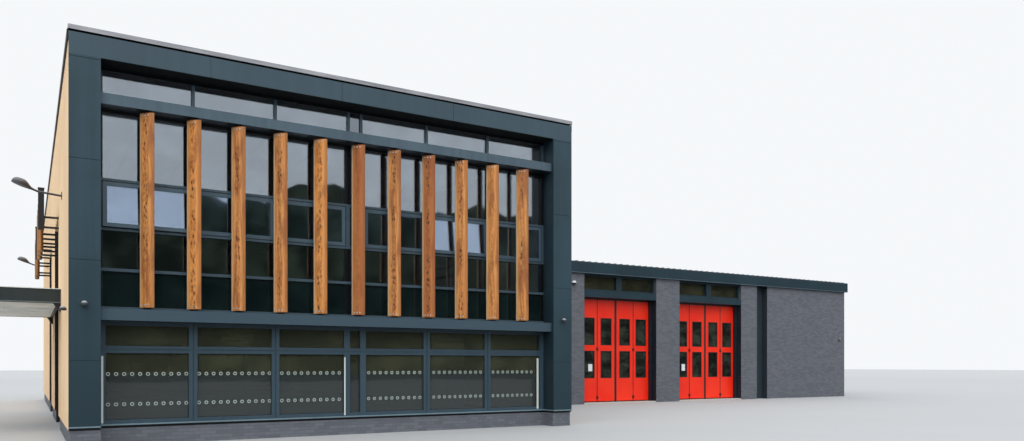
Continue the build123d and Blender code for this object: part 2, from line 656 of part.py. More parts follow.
def hall_walls():
    """Dark brick walls of the appliance hall, in slabs beside the doorways and the recess."""
    gaps = [(x, x + DOOR_WIDTH) for x in door_starts()]
    gaps.append((RECESS_START, RECESS_START + RECESS_WIDTH))
    front = (HALL_FRONT, HALL_FRONT + HALL_WALL)
    levels = (0, HALL_FASCIA_BOTTOM)
    for run in wall_runs((FRONT_WIDTH, HALL_END), gaps):
        add("hall_front_wall", slab(run, front, levels))
    rear = (HALL_REAR - HALL_WALL, HALL_REAR)
    for run in wall_runs((FRONT_WIDTH, HALL_END), gaps[:DOOR_COUNT]):
        add("hall_rear_wall", slab(run, rear, levels))
    for gap in gaps[:DOOR_COUNT]:
        add("hall_rear_panels", slab(gap, rear, (0, LINTEL_TOP)))
    half = (HALL_DEPTH - 2 * HALL_WALL) / 2
    rise = half * math.tan(math.radians(HALL_ROOF_PITCH_DEG))
    middle = (HALL_FRONT + HALL_REAR) / 2
    y0, y1 = front[1], rear[0]
    gable = Polyline(
        (y0, 0), (y1, 0), (y1, HALL_FASCIA_TOP), (middle, HALL_FASCIA_TOP + rise), (y0, HALL_FASCIA_TOP),
        close=True,
    )
    wall = extrude(Plane.YZ * make_face(gable), HALL_WALL)
    add("hall_end_wall", Pos(HALL_END - HALL_WALL, 0, 0) * wall)
    panel = (RECESS_START, RECESS_START + RECESS_WIDTH)
    set_back = (HALL_FRONT + RECESS_DEPTH, HALL_FRONT + HALL_WALL)
    lining = slab(panel, set_back, levels)
    for x in (panel[0], panel[1] - REVEAL_LINING):
        lining += slab((x, x + REVEAL_LINING), (HALL_FRONT, set_back[0]), levels)
    add("recess_panel", lining)
    pipe = Cylinder(PIPE_RADIUS, HALL_FASCIA_BOTTOM, align=(Align.CENTER, Align.CENTER, Align.MIN))
    pipe_y = HALL_FRONT + RECESS_DEPTH - PIPE_RADIUS
    add("downpipe", Pos(RECESS_START + PIPE_INSET, pipe_y, 0) * pipe)


def hall_roof():
    """Fascia gutters along both eaves, and a low double-pitched roof that laps over them."""
    out = HALL_FASCIA_PROJECTION
    levels = (HALL_FASCIA_BOTTOM, HALL_FASCIA_TOP)
    x = (FRONT_WIDTH, HALL_END + out)
    y0, y1 = HALL_FRONT + HALL_WALL, HALL_REAR - HALL_WALL
    add("hall_fascia", slab(x, (HALL_FRONT - out, y0), levels))
    add("hall_fascia", slab(x, (y1, HALL_REAR + out), levels))
    front, rear = HALL_FRONT - out + HALL_ROOF_LAP, HALL_REAR + out - HALL_ROOF_LAP
    slope = math.tan(math.radians(HALL_ROOF_PITCH_DEG))
    middle = (front + rear) / 2
    base, edge = HALL_FASCIA_TOP, HALL_FASCIA_TOP + HALL_ROOF_EDGE
    section = Polyline(
        (front, base), (y0, base), (middle, base + (middle - y0) * slope), (y1, base), (rear, base),
        (rear, edge), (middle, edge + (middle - front) * slope), (front, edge),
        close=True,
    )
    roof = extrude(Plane.YZ * make_face(section), x[1] - x[0])
    add("hall_roof", Pos(x[0], 0, 0) * roof)
    floor_x = (FRONT_WIDTH, HALL_END - HALL_WALL)
    add("hall_floor", slab(floor_x, (y0, y1), (0, THRESHOLD_TOP)))


def high_window(x, y, pane_y):
    """Two framed lights over a doorway; the clad post between them is returned."""
    levels = (LINTEL_TOP, HALL_FASCIA_BOTTOM)
    middle = (x[0] + x[1]) / 2
    post = (middle - HIGH_WINDOW_POST / 2, middle + HIGH_WINDOW_POST / 2)
    for width in ((x[0], post[0]), (post[1], x[1])):
        add("high_window_frames", lattice(width, levels, y, HIGH_WINDOW_BAR))
    add("high_window_glass", slab(x, pane_y, levels))
    return slab(post, y, levels)


def doorways():
    """Each appliance doorway: lined jamb boxes, lintel, high windows front and rear, and threshold."""
    back = DOOR_PLANE + LEAF_THICKNESS
    jamb_front = HALL_FRONT + JAMB_SETBACK
    levels = (THRESHOLD_TOP, LINTEL_BOTTOM)
    near, far = HIGH_WINDOW_SETBACK, HIGH_WINDOW_SETBACK + HIGH_WINDOW_DEPTH
    for start in door_starts():
        x = (start, start + DOOR_WIDTH)
        for jamb, lining in (
            ((x[0], x[0] + DOOR_JAMB), (x[0], x[0] + REVEAL_LINING)),
            ((x[1] - DOOR_JAMB, x[1]), (x[1] - REVEAL_LINING, x[1])),
        ):
            box = slab(jamb, (jamb_front, back), levels)
            add("door_reveals", box + slab(lining, (HALL_FRONT, jamb_front), levels))
        front = (HALL_FRONT + near, HALL_FRONT + far)
        post = high_window(x, front, (front[1], front[1] + GLASS))
        add("lintels", slab(x, (HALL_FRONT, back), (LINTEL_BOTTOM, LINTEL_TOP)) + post)
        rear = (HALL_REAR - far, HALL_REAR - near)
        add("lintels", high_window(x, rear, (rear[0] - GLASS, rear[0])))
        add("thresholds", slab(x, (HALL_FRONT, HALL_FRONT + HALL_WALL), (0, THRESHOLD_TOP)))


def door_leaf(left, width, top):
    """One door leaf with two lights, and its two panes."""
    y = (DOOR_PLANE, DOOR_PLANE + LEAF_THICKNESS)
    middle = DOOR_PLANE + LEAF_THICKNESS / 2
    pane_y = (middle - LIGHT_GLASS / 2, middle + LIGHT_GLASS / 2)
    leaf = slab((left, left + width), y, (LEAF_BOTTOM, top))
    lights = (left + (width - LIGHT_WIDTH) / 2, left + (width + LIGHT_WIDTH) / 2)
    panes = []
    for light in (LOWER_LIGHT, UPPER_LIGHT):
        leaf -= slab(lights, y, light)
        panes.append(slab(lights, pane_y, light))
    return leaf, panes


def folding_doors():
    """Glazed steel leaves in each doorway, hinged in two sets that meet at a pair of rubber edges."""
    sides = ("left", "right", *(f"extra_{n}" for n in range(DOOR_COUNT - 2)))
    top = LINTEL_BOTTOM - LEAF_HEAD_GAP
    room = DOOR_WIDTH - 2 * DOOR_JAMB - LEAVES * LEAF_GAP - MEETING_GAP
    outer = (room - (LEAVES - 2) * INNER_LEAF_EXTRA) / LEAVES
    middle = DOOR_PLANE + LEAF_THICKNESS / 2
    depth = (middle - SEAL_DEPTH / 2, middle + SEAL_DEPTH / 2)
    seal = (MEETING_GAP - SEAL_SLIT) / 2
    pivot = Cylinder(PIVOT_RADIUS, LEAF_HEAD_GAP, align=(Align.CENTER, Align.CENTER, Align.MIN))
    for side, start in zip(sides, door_starts()):
        edge = start + DOOR_JAMB
        for n in range(LEAVES):
            left = edge + (MEETING_GAP if n == LEAVES // 2 else LEAF_GAP)
            if n == LEAVES // 2:
                for x in (edge, left - seal):
                    add("door_seals", slab((x, x + seal), depth, (LEAF_BOTTOM, top)))
            elif n:
                for level in HINGE_LEVELS:
                    block = Pos((edge + left) / 2, DOOR_PLANE - HINGE_SIZE[1] / 2, level)
                    add("door_hinges", block * Box(*HINGE_SIZE))
            width = outer + (INNER_LEAF_EXTRA if 0 < n < LEAVES - 1 else 0)
            leaf, panes = door_leaf(left, width, top)
            add(f"{side}_door_leaves", leaf)
            add("door_glass", *panes)
            add("door_hinges", Pos(left + width / 2, middle, top) * pivot)
            edge = left + width


front_shell()
timber_fins()
ground_glazing()
upper_glazing()
clerestory()
plinths()
side_walls()
rear_wall()
floors_and_roof()
copings()
flashings()
side_slots()
side_fins()
side_posts()
canopy()
lamps()
hall_walls()
hall_roof()
doorways()
folding_doors()

solids = [solid for group in nodes.values() for piece in group for solid in piece.solids()]
boxes = [solid.bounding_box() for solid in solids]
low = Vector(*[min(value) for value in zip(*[tuple(box.min) for box in boxes])])
high = Vector(*[max(value) for value in zip(*[tuple(box.max) for box in boxes])])
origin = Vector((low.X + high.X) / 2, (low.Y + high.Y) / 2, low.Z)
print("origin", origin, "size", high - low)

os.makedirs("parts", exist_ok=True)
for name, group in nodes.items():
    moved = [Pos(-origin.X, -origin.Y, -origin.Z) * solid for piece in group for solid in piece.solids()]
    export_step(Compound(moved) if len(moved) > 1 else moved[0], f"parts/{name}.step")
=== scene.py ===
import math

import bmesh
import bpy
from mathutils import Matrix, Vector


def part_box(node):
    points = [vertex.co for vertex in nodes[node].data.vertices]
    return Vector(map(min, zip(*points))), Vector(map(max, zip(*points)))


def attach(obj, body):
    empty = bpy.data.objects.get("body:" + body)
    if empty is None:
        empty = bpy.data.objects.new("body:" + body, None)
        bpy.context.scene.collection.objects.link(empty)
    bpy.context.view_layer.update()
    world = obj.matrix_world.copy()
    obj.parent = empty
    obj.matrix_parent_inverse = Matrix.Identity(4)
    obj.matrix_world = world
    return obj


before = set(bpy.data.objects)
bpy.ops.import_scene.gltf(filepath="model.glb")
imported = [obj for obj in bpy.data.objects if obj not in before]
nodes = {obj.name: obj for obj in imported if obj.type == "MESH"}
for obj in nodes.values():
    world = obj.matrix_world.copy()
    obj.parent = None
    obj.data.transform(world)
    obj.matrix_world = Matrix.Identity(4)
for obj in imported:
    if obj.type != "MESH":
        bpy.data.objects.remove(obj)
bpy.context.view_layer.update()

# Front frame of the office block: two piers and a deep fascia, folded from
# slate grey powder-coated sheet and screwed to steel rails behind, with open
# 10 mm joints between the panels.


class Wire:
    """A node tree, or the output of one of its nodes, on which maths is written as an expression."""

    def __init__(self, tree, socket=None):
        self.tree, self.socket = tree, socket

    def node(self, kind, settings=(), inputs=(), output=0):
        """Adds a node: its settings first, then the values or links of its sockets."""
        made = self.tree.nodes.new(kind)
        for name, value in dict(settings).items():
            setattr(made, name, value)
        for name, value in dict(inputs).items():
            if isinstance(value, Wire):
                self.tree.links.new(value.socket, made.inputs[name])
            else:
                made.inputs[name].default_value = value
        return Wire(self.tree, made.outputs[output] if len(made.outputs) else None)

    def math(self, operation, *values):
        return self.node("ShaderNodeMath", {"operation": operation}, enumerate(values))

    def __add__(self, other):
        return self.math("ADD", self, other)

    def __sub__(self, other):
        return self.math("SUBTRACT", self, other)

    def __rsub__(self, other):
        return self.math("SUBTRACT", other, self)

    def __mul__(self, other):
        return self.math("MULTIPLY", self, other)

    def __truediv__(self, other):
        return self.math("DIVIDE", self, other)

    def __mod__(self, other):
        return self.math("FLOORED_MODULO", self, other)

    def __gt__(self, other):
        return self.math("GREATER_THAN", self, other)

    def __lt__(self, other):
        return self.math("LESS_THAN", self, other)

    __radd__, __rmul__ = __add__, __mul__

    def ramp(self, low, high):
        """0 below low and 1 above high, with a smooth rise between; low may be the greater."""
        return self.node(
            "ShaderNodeMapRange",
            {"interpolation_type": "SMOOTHSTEP"},
            {"Value": self, "From Min": low, "From Max": high},
        )

    def axes(self):
        """The three numbers of a vector."""
        parts = self.node("ShaderNodeSeparateXYZ", inputs={0: self}).socket.node.outputs
        return [Wire(self.tree, part) for part in parts]

    def stretched(self, x, y, z):
        """A vector with its axes scaled."""
        return self.node("ShaderNodeMapping", inputs={"Vector": self, "Scale": (x, y, z)})

    def noise(self, scale, detail=3.0, roughness=0.5):
        """A cloudy number about 0.5 at each point of this vector."""
        values = {"Vector": self, "Scale": scale, "Detail": detail, "Roughness": roughness}
        return self.node("ShaderNodeTexNoise", inputs=values)


def seen(red, green, blue):
    """A linear colour from the 0 to 255 values that it shows on a screen."""
    return tuple(((v / 255 + 0.055) / 1.055) ** 2.4 for v in (red, green, blue))


def socket_name(word):
    """The shader's own name of a socket, from a keyword such as coat_weight."""
    return {"colour": "Base Color"}.get(word, word.replace("_", " ").title().replace("Ior", "IOR"))


def finish(name, **values):
    """A material with one Principled shader; returns it, its tree and the shader's node."""
    material = bpy.data.materials.new(name)
    material.use_nodes = True
    shader = material.node_tree.nodes["Principled BSDF"]
    for word, value in values.items():
        shader.inputs[socket_name(word)].default_value = value
    return material, Wire(material.node_tree), shader


def tint(pen, factor, low, high):
    """The colour between two others that a factor picks."""
    colours = [c if isinstance(c, Wire) else (*c, 1) for c in (low, high)]
    inputs = {0: factor, 6: colours[0], 7: colours[1]}
    return pen.node("ShaderNodeMix", {"data_type": "RGBA"}, inputs, output=2)


def wear(pen, shader, relief=None, depth=0.001, **patterns):
    """Links patterns into the shader's sockets of the same names, and relief as a bump of a depth in metres."""
    if relief is not None:
        patterns["normal"] = pen.node("ShaderNodeBump", inputs={"Height": relief, "Strength": 1.0, "Distance": depth})
    for name, wire in patterns.items():
        pen.tree.links.new(wire.socket, shader.inputs[socket_name(name)])


def place_in(pen):
    """The point on the piece, in metres in the building's frame."""
    return pen.node("ShaderNodeTexCoord", output="Object")


def facing_down(pen):
    """1 on faces that look down, which are painted dark as shade."""
    normal = pen.node("ShaderNodeNewGeometry", output="Normal")
    return normal.axes()[2].ramp(-0.3, -0.8)


def dress(material, *names):
    """Gives CAD nodes their material."""
    for name in names:
        nodes[name].data.materials.clear()
        nodes[name].data.materials.append(material)


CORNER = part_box("front_piers")[0].copy()
CORNER.z = 0
FRONT_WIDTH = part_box("top_fascia")[1].x - CORNER.x
FASCIA_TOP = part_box("top_fascia")[1].z
UNDERSIDE_SHADE = seen(16, 20, 24)
SHADE_BLACK = seen(12, 17, 22)
SLATE = seen(47, 69, 79)


def powder_coat(name, colour, roughness=0.42, mottle=0.12, shaded=None, darker_below=None, heights=(4.5, 0.2)):
    """Satin powder-coated sheet: faint weathering, rain streaks, undersides painted dark as shade, and fine orange
    peel.

    shaded gives a mask, made from the place and its tree, of parts that are painted nearly black as shade;
    the next colour, if given, is what the lowest metres darken to, between two heights.
    """
    material, pen, shader = finish(name, metallic=0.0, specular_ior_level=0.3)
    place = place_in(pen)
    cloud = place.noise(0.7, 5)
    streaks = place.stretched(9, 9, 0.35).noise(1.0, 4)
    shade = cloud * 0.6 + streaks * 0.4
    low = tuple(c * (1 - mottle * 2) for c in colour)
    high = tuple(c * (1 + mottle * 2) for c in colour)
    body = tint(pen, shade.ramp(0.3, 0.7), low, high)
    if darker_below:
        body = tint(pen, place.axes()[2].ramp(*heights), body, darker_below)
    body = tint(pen, facing_down(pen) * 0.85, body, UNDERSIDE_SHADE)
    if shaded:
        body = tint(pen, shaded(place), body, SHADE_BLACK)
    wear(
        pen, shader,
        colour=body,
        roughness=place.noise(3.0, 3) * 0.16 + (roughness - 0.08),
        relief=place.noise(260, 2), depth=0.0002,
    )
    return material


def inner_return(place):
    """The face of the right pier that looks back across the windows, painted darker as shade."""
    normal = place.node("ShaderNodeNewGeometry", output="Normal")
    on_right = place.axes()[0] > CORNER.x + FRONT_WIDTH / 2
    return (normal.axes()[0] < -0.7) * on_right * 0.42


# The piers darken towards the ground as a painted reflection of the dark ground; the right pier's inner return is
# painted darker as shade.
cladding = powder_coat("slate_cladding", SLATE, mottle=0.08, shaded=inner_return, darker_below=seen(36, 56, 65))
dress(cladding, "front_piers", "downpipe")
dress(powder_coat("recess_cladding", seen(50, 59, 67), mottle=0.08), "recess_panel")
dress(powder_coat("jamb_cladding", seen(26, 42, 51), mottle=0.08), "door_reveals")
dress(powder_coat("fascia_cladding", seen(62, 81, 91), mottle=0.05), "top_fascia")
dress(powder_coat("hall_cladding", seen(32, 54, 64), mottle=0.08), "hall_fascia", "lintels", "high_window_frames")

# Soffit under the fascia: dark fibre-cement board, screwed up to the roof's edge framing. Its near-black colour is
# partly the board's own and partly painted shade under the fascia.
soffit_board, pen, shader = finish("dark_soffit_board", roughness=0.7, specular_ior_level=0.2)
place = place_in(pen)
wear(
    pen, shader,
    colour=tint(pen, place.noise(5), seen(5, 7, 10), seen(10, 13, 16)),
    roughness=place.noise(8) * 0.2 + 0.6,
)
dress(soffit_board, "soffit")

# Cross beams and the post between the two groups of bays: steel beams cased in pressed sheet, a little bluer and
# smoother than the cladding, the lower beam darker than the upper. The post's casing is painted near black as the
# shade of its recess between the frames.
casing = powder_coat(
    "beam_casing", seen(78, 96, 107), roughness=0.36, mottle=0.08, darker_below=seen(64, 83, 94), heights=(5.5, 3.5)
)
post_casing = powder_coat("post_casing", seen(20, 27, 31), roughness=0.6)
dress(casing, "cross_beams")
dress(post_casing, "central_column")

# Wall copings: pressed aluminium with a drip on both edges, in lengths that butt over a packer. The packer and the
# undersides are painted near black as shade, which leaves a thin dark line below.
PACKER_TOP = FASCIA_TOP + 0.042
coping_metal, pen, shader = finish("mill_aluminium", roughness=0.45, metallic=0.55)
place = place_in(pen)
stain = place.stretched(1, 1, 6).noise(1.3, 6)
# Painted shade: the packer below the coping and the faces that look down.
dark = pen.math("MAXIMUM", place.axes()[2] < PACKER_TOP, facing_down(pen))
metal = tint(pen, stain.ramp(0.3, 0.75), seen(140, 141, 146), seen(172, 173, 177))
wear(
    pen, shader,
    colour=tint(pen, dark, metal, SHADE_BLACK),
    roughness=stain * 0.3 + 0.3,
    relief=place.noise(90), depth=0.0004,
)
dress(coping_metal, "coping")

# Flat roof of the block: single-ply membrane in welded sheets 1.5 m wide,
# with slight ponding stains.
SHEET_WIDTH = 1.5
membrane, pen, shader = finish("roof_membrane", roughness=0.8)
place = place_in(pen)
across = (place.axes()[0] % SHEET_WIDTH) / SHEET_WIDTH
lap = (across < 0.03) + (across > 0.985)
ponds = place.noise(0.35, 6, 0.6).ramp(0.4, 0.7)
base = tint(pen, ponds, seen(132, 136, 140), seen(108, 112, 116))
wear(
    pen, shader,
    colour=tint(pen, lap * 0.5, base, seen(90, 94, 98)),
    roughness=ponds * -0.2 + 0.85,
    relief=lap + place.noise(40) * 0.2, depth=0.003,
)
dress(membrane, "roof_deck")

# Floors: power-floated concrete below and a carpet-tiled deck above, whose
# underside is a white suspended ceiling of 600 mm tiles.
TILE = 0.6
TILE_GRID = 0.024
FLOOR_MIDDLE = sum(v.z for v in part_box("first_floor")) / 2
concrete, pen, shader = finish("floated_concrete", roughness=0.55)
place = place_in(pen)
patches = place.noise(0.8, 6)
wear(
    pen, shader,
    colour=tint(pen, patches.ramp(0.3, 0.7), seen(120, 119, 116), seen(150, 149, 145)),
    roughness=patches * 0.3 + 0.4,
    relief=place.noise(60), depth=0.0008,
)
dress(concrete, "ground_floor", "hall_floor")
kerb, pen, shader = finish("pale_kerb", roughness=0.8)
place = place_in(pen)
wear(pen, shader, colour=tint(pen, place.noise(2, 5), seen(184, 182, 174), seen(206, 204, 196)))
dress(kerb, "thresholds")
storey, pen, shader = finish("carpet_and_ceiling", roughness=0.9)
place = place_in(pen)
x, y, z = place.axes()
grid = ((x % TILE) < TILE_GRID) + ((y % TILE) < TILE_GRID)
above = z > FLOOR_MIDDLE
carpet = tint(pen, place.noise(300), seen(52, 58, 70), seen(78, 84, 96))
ceiling = tint(pen, grid.ramp(0, 1), seen(214, 213, 207), seen(150, 150, 148))
wear(pen, shader, colour=tint(pen, above, ceiling, carpet), relief=grid * -1, depth=0.004)
dress(storey, "first_floor")

# Window frames: thermally broken aluminium sections, powder coated slate
# blue, with pressure plates and snap-on caps outside the glass.
frame_coat = powder_coat("frame_coat", seen(58, 77, 88), roughness=0.34, mottle=0.06)
sash_coat = powder_coat("sash_coat", seen(72, 90, 101), roughness=0.34, mottle=0.06)
dress(frame_coat, "ground_frame", "slot_frames", "rear_frames")
dress(sash_coat, "sash_frames")
UPPER_ROWS = ((2.795, 3.51), (3.57, 4.332), (5.375, 6.693))
CLERESTORY_ROW = (7.028, 7.528)
UPPER_HEAD_TOP = 6.76
CLERESTORY_HEAD_TOP = 7.6


def painted_joint_shade(place):
    """Uprights of the upper fixed lights and the head bars, under the beams and the soffit: painted near black as
    shade.
    """
    z = place.axes()[2]
    heads = ((UPPER_ROWS[2][0], UPPER_HEAD_TOP), (CLERESTORY_ROW[1], CLERESTORY_HEAD_TOP))
    return sum((z > low) * (z < high) for low, high in UPPER_ROWS[:2] + heads)


shade_painted_frame = powder_coat("upper_frame_painted_shade", seen(68, 86, 97), roughness=0.3, mottle=0.06, shaded=painted_joint_shade)
dress(shade_painted_frame, "upper_frame")

# Gaskets: black rubber beads pressed in between the caps and the glass,
# mitred at the corners of each light.


def ring_of(mesh, rim, width, near, far):
    """Adds a mitred rectangular ring to a bmesh: rim is (left, right, low, high), near and far its depths."""
    left, right, low, high = rim
    corners = ((left, low, 1, 1), (right, low, -1, 1), (right, high, -1, -1), (left, high, 1, -1))
    loops = [
        [mesh.verts.new((x + inward * inset, depth, z + upward * inset)) for x, z, inward, upward in corners]
        for depth, inset in ((far, 0), (near, 0), (near, width), (far, width))
    ]
    for a, b in zip(loops, loops[1:] + loops[:1]):
        for n in range(4):
            m = (n + 1) % 4
            mesh.faces.new((a[n], a[m], b[m], b[n]))


def linked(name, data):
    """Puts a mesh, lamp or camera into the scene, at the origin."""
    made = bpy.data.objects.new(name, data)
    bpy.context.scene.collection.objects.link(made)
    return made


def coated(name, mesh, material):
    """Turns a bmesh into a mesh with its finish on."""
    data = bpy.data.meshes.new(name)
    mesh.to_mesh(data)
    mesh.free()
    data.materials.append(material)
    return data


def fix(made):
    """Fixes a piece to the building."""
    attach(made, "root")


def piece(name, mesh, material):
    """Makes a plain piece of the building from a bmesh."""
    bmesh.ops.recalc_face_normals(mesh, faces=mesh.faces)
    fix(linked(name, coated(name, mesh, material)))


def at(x, y, z):
    """A point given from the front left corner of the block, at ground level, in metres."""
    return CORNER + Vector((x, y, z))


GLASS_FACE = 0.526
BEAD = 0.009
BEAD_DEPTH = 0.006
BAY_LINES = ((0.550, 2.327, 4.054, 5.781), (6.029, 7.756, 9.483, 11.210))
GROUND_ROWS = ((0.51, 1.8625), (2.0075, 2.425))
SASH_ROW = (4.392, 5.315)
FRAME_FACE = 0.48
SASH_BEAD = 0.014
SASH_BEAD_DEPTH = 0.002
MIDDLE_STRIP = (5.781, 6.029)


def lights(pier_jamb, column_jamb, mullion):
    """The clear width of each light across the front, from the bay lines and the frame's widths."""
    spans = []
    for side, lines in enumerate(BAY_LINES):
        first, last = (column_jamb, pier_jamb) if side else (pier_jamb, column_jamb)
        for n in range(3):
            left = lines[n] + (first if n == 0 else mullion / 2)
            right = lines[n + 1] - (last if n == 2 else mullion / 2)
            spans.append((left, right))
    return spans


GROUND_LIGHTS = lights(0.12, 0.145, 0.17)
UPPER_LIGHTS = lights(0.06, 0.11, 0.06)
CLERESTORY_LIGHTS = lights(0.06, 0.06, 0.06)

rubber, pen, shader = finish("black_rubber", roughness=0.6)
place = place_in(pen)
wear(
    pen, shader,
    colour=tint(pen, place.noise(30), seen(14, 15, 16), seen(26, 27, 28)),
    roughness=place.noise(60) * 0.2 + 0.5,
)
beads = bmesh.new()
y = CORNER.y + GLASS_FACE
for spans, rows in (
    (GROUND_LIGHTS, GROUND_ROWS), (UPPER_LIGHTS, UPPER_ROWS), (CLERESTORY_LIGHTS, (CLERESTORY_ROW,))
):
    for left, right in spans + [MIDDLE_STRIP]:
        for low, high in rows:
            ring_of(beads, (CORNER.x + left, CORNER.x + right, low, high), BEAD, y - BEAD_DEPTH, y)
y = CORNER.y + FRAME_FACE
low, high = SASH_ROW[0] - SASH_BEAD, SASH_ROW[1] + SASH_BEAD
for left, right in UPPER_LIGHTS:
    rim = (CORNER.x + left - SASH_BEAD, CORNER.x + right + SASH_BEAD, low, high)
    ring_of(beads, rim, SASH_BEAD, y - SASH_BEAD_DEPTH, y)
piece("front_gaskets", beads, rubber)
dress(rubber, "door_seals", "door_hinges")

# Glass: solar-control double glazing on the first floor, which mirrors a
# third of the light, plain tinted units below, and back-painted glass over
# the floor's edge. Panes are bedded in the gaskets.


def pane_of(name, colour, alpha, metallic, wave=0.0, patchy=None, below=None):
    """Coated glass: part mirror, part clear. Its faces bow slightly, as toughened panes do.

    patchy is a second colour, in soft patches; below is the colour of the part under 1.4 m,
    a painted reflection of the ground.
    """
    material, pen, shader = finish(name, alpha=alpha, metallic=metallic, specular_ior_level=0.5)
    place = place_in(pen)
    dust = place.noise(1.4, 6)
    pale = tuple(min(1.0, c * 1.12 + 0.004) for c in colour)
    body = tint(pen, dust.ramp(0.35, 0.75), colour, pale)
    if patchy:
        clouds = place.stretched(1, 1, 1.6).noise(1.1, 4, 0.6)
        body = tint(pen, clouds.ramp(0.42, 0.62), body, patchy)
    if below:
        body = tint(pen, place.axes()[2].ramp(1.5, 1.35), body, below)
    values = {"colour": body, "roughness": dust * 0.02 + 0.015}
    if wave:
        values.update(relief=place.noise(0.9, 1), depth=wave)
    wear(pen, shader, **values)
    return material


tinted = pane_of(
    "tinted_glass", seen(58, 60, 47), 0.64, 0.0, wave=0.002, patchy=seen(76, 78, 60), below=seen(63, 69, 69)
)
spandrel = pane_of("spandrel_glass", seen(13, 25, 26), 0.97, 0.0, wave=0.004, patchy=seen(22, 36, 36))
dress(tinted, "ground_glass")
dress(spandrel, "spandrel_glass")
dress(pane_of("solar_glass", seen(190, 200, 210), 0.39, 1.0, wave=0.004), "upper_glass")
dress(pane_of("sash_solar_glass", seen(188, 208, 234), 0.39, 1.0, wave=0.004), "sash_glass")
dress(pane_of("side_glass", seen(120, 128, 130), 0.5, 1.0), "slot_glass")
dress(pane_of("rear_glass", seen(70, 76, 78), 0.92, 0.8), "rear_glass")
dress(pane_of("high_glass", seen(44, 46, 34), 0.85, 0.0, patchy=seen(66, 64, 48)), "high_window_glass")

# Markers on the ground-floor glass: rings of frosted film in two rows, 0.82 and
# 1.44 m up, nine to eleven to a pane.


def tree_of(name, **sizes):
    """A geometry node tree with named number inputs; returns its pen, its geometry and its inputs."""
    tree = bpy.data.node_groups.new(name, "GeometryNodeTree")
    tree.interface.new_socket("Geometry", in_out="INPUT", socket_type="NodeSocketGeometry")
    tree.interface.new_socket("Geometry", in_out="OUTPUT", socket_type="NodeSocketGeometry")
    for label, value in sizes.items():
        kind = "NodeSocketInt" if isinstance(value, int) else "NodeSocketFloat"
        made = tree.interface.new_socket(label.replace("_", " "), in_out="INPUT", socket_type=kind)
        made.default_value = value
    pen = Wire(tree)
    given = pen.node("NodeGroupInput").socket.node.outputs
    return pen, Wire(tree, given[0]), {n: Wire(tree, given[n.replace("_", " ")]) for n in sizes}


def together(pen, shapes):
    """Joins the shapes of a geometry tree into one."""
    joined = pen.node("GeometryNodeJoinGeometry")
    for shape in shapes:
        pen.tree.links.new(shape.socket, joined.socket.node.inputs[0])
    return joined


def close(shape, material):
    """Ends a tree: real geometry, in its material."""
    real = shape.node("GeometryNodeRealizeInstances", inputs={0: shape})
    finished = real.node("GeometryNodeSetMaterial", inputs={"Geometry": real, "Material": material})
    finished.node("NodeGroupOutput", inputs={0: finished})
    return finished.tree


def grow(name, tree, mesh, **sizes):
    """Runs a tree over a mesh and returns the result as a plain mesh."""
    carrier = linked(name, mesh)
    modifier = carrier.modifiers.new(name, "NODES")
    modifier.node_group = tree
    sockets = {item.name: item.identifier for item in tree.interface.items_tree if item.in_out == "INPUT"}
    for label, value in sizes.items():
        modifier[sockets[label.replace("_", " ")]] = value
    view = bpy.context.evaluated_depsgraph_get()
    made = bpy.data.meshes.new_from_object(carrier.evaluated_get(view), depsgraph=view)
    bpy.data.objects.remove(carrier)
    made.name = name
    return made


def keep(name, meshes):
    """Joins plain meshes into one piece that rides on the building."""
    whole = bmesh.new()
    for mesh in meshes:
        whole.from_mesh(mesh)
    data = coated(name, whole, next(material for material in meshes[0].materials if material))
    for face in data.polygons:
        face.material_index = 0
    fix(linked(name, data))


def points(places):
    """A mesh of loose points."""
    mesh = bpy.data.meshes.new("points")
    mesh.from_pydata(places, [], [])
    return mesh


film, pen, shader = finish("frosted_film", roughness=0.75)
place = place_in(pen)
wear(pen, shader, colour=tint(pen, place.noise(40), seen(162, 174, 166), seen(184, 194, 186)))
pen, shape, size = tree_of("glass_marker", Outer_radius=0.038, Inner_radius=0.022)
rings = [pen.node("GeometryNodeCurvePrimitiveCircle", inputs={"Resolution": 20, "Radius": size[r]}) for r in size]
disc = pen.node("GeometryNodeFillCurve", inputs={0: together(pen, rings)})
upright = pen.node("GeometryNodeTransform", inputs={0: disc, "Rotation": (math.pi / 2, 0, 0)})
markers = pen.node("GeometryNodeInstanceOnPoints", inputs={0: shape, "Instance": upright})
marker_tree = close(markers, film)
MARKER_PITCH = 0.148
MARKER_RUNS = ((0.716, 11), (2.4505, 11), (4.2035, 10), (6.2565, 10), (7.966, 10), (9.666, 9))
MARKER_LEVELS = (0.823, 1.437)
MARKER_LIFT = 0.0008
marker_places = []
for first, count in MARKER_RUNS:
    for level in MARKER_LEVELS:
        for n in range(count):
            marker_places.append(at(first + n * MARKER_PITCH, GLASS_FACE - MARKER_LIFT, level))
keep("glass_markers", [grow("markers", marker_tree, points(marker_places))])

# Jamb covers: pale strips that cap the end frames of the lower lights, where
# the glazing was sealed to the cladding and the middle post.
COVER_RUNS = ((0.592, 0.628), (5.640, 5.670), (10.99, 11.05))
COVER_FOOT = 0.45
COVER_HEAD = 1.80
COVER_DEPTH = 0.002
cover_paint, pen, shader = finish("pale_cover", roughness=0.5)
place = place_in(pen)
wear(pen, shader, colour=tint(pen, place.noise(20), seen(208, 214, 206), seen(226, 230, 222)))
covers = bmesh.new()


def block(mesh, a, b):
    """Adds a box to a bmesh, from its lowest to its highest corner."""
    middle, size = (a + b) / 2, b - a
    for vert in bmesh.ops.create_cube(mesh, size=1)["verts"]:
        vert.co = middle + Vector([c * s for c, s in zip(vert.co, size)])


for left, right in COVER_RUNS:
    block(covers, at(left, FRAME_FACE - COVER_DEPTH, COVER_FOOT), at(right, FRAME_FACE, COVER_HEAD))
piece("jamb_covers", covers, cover_paint)

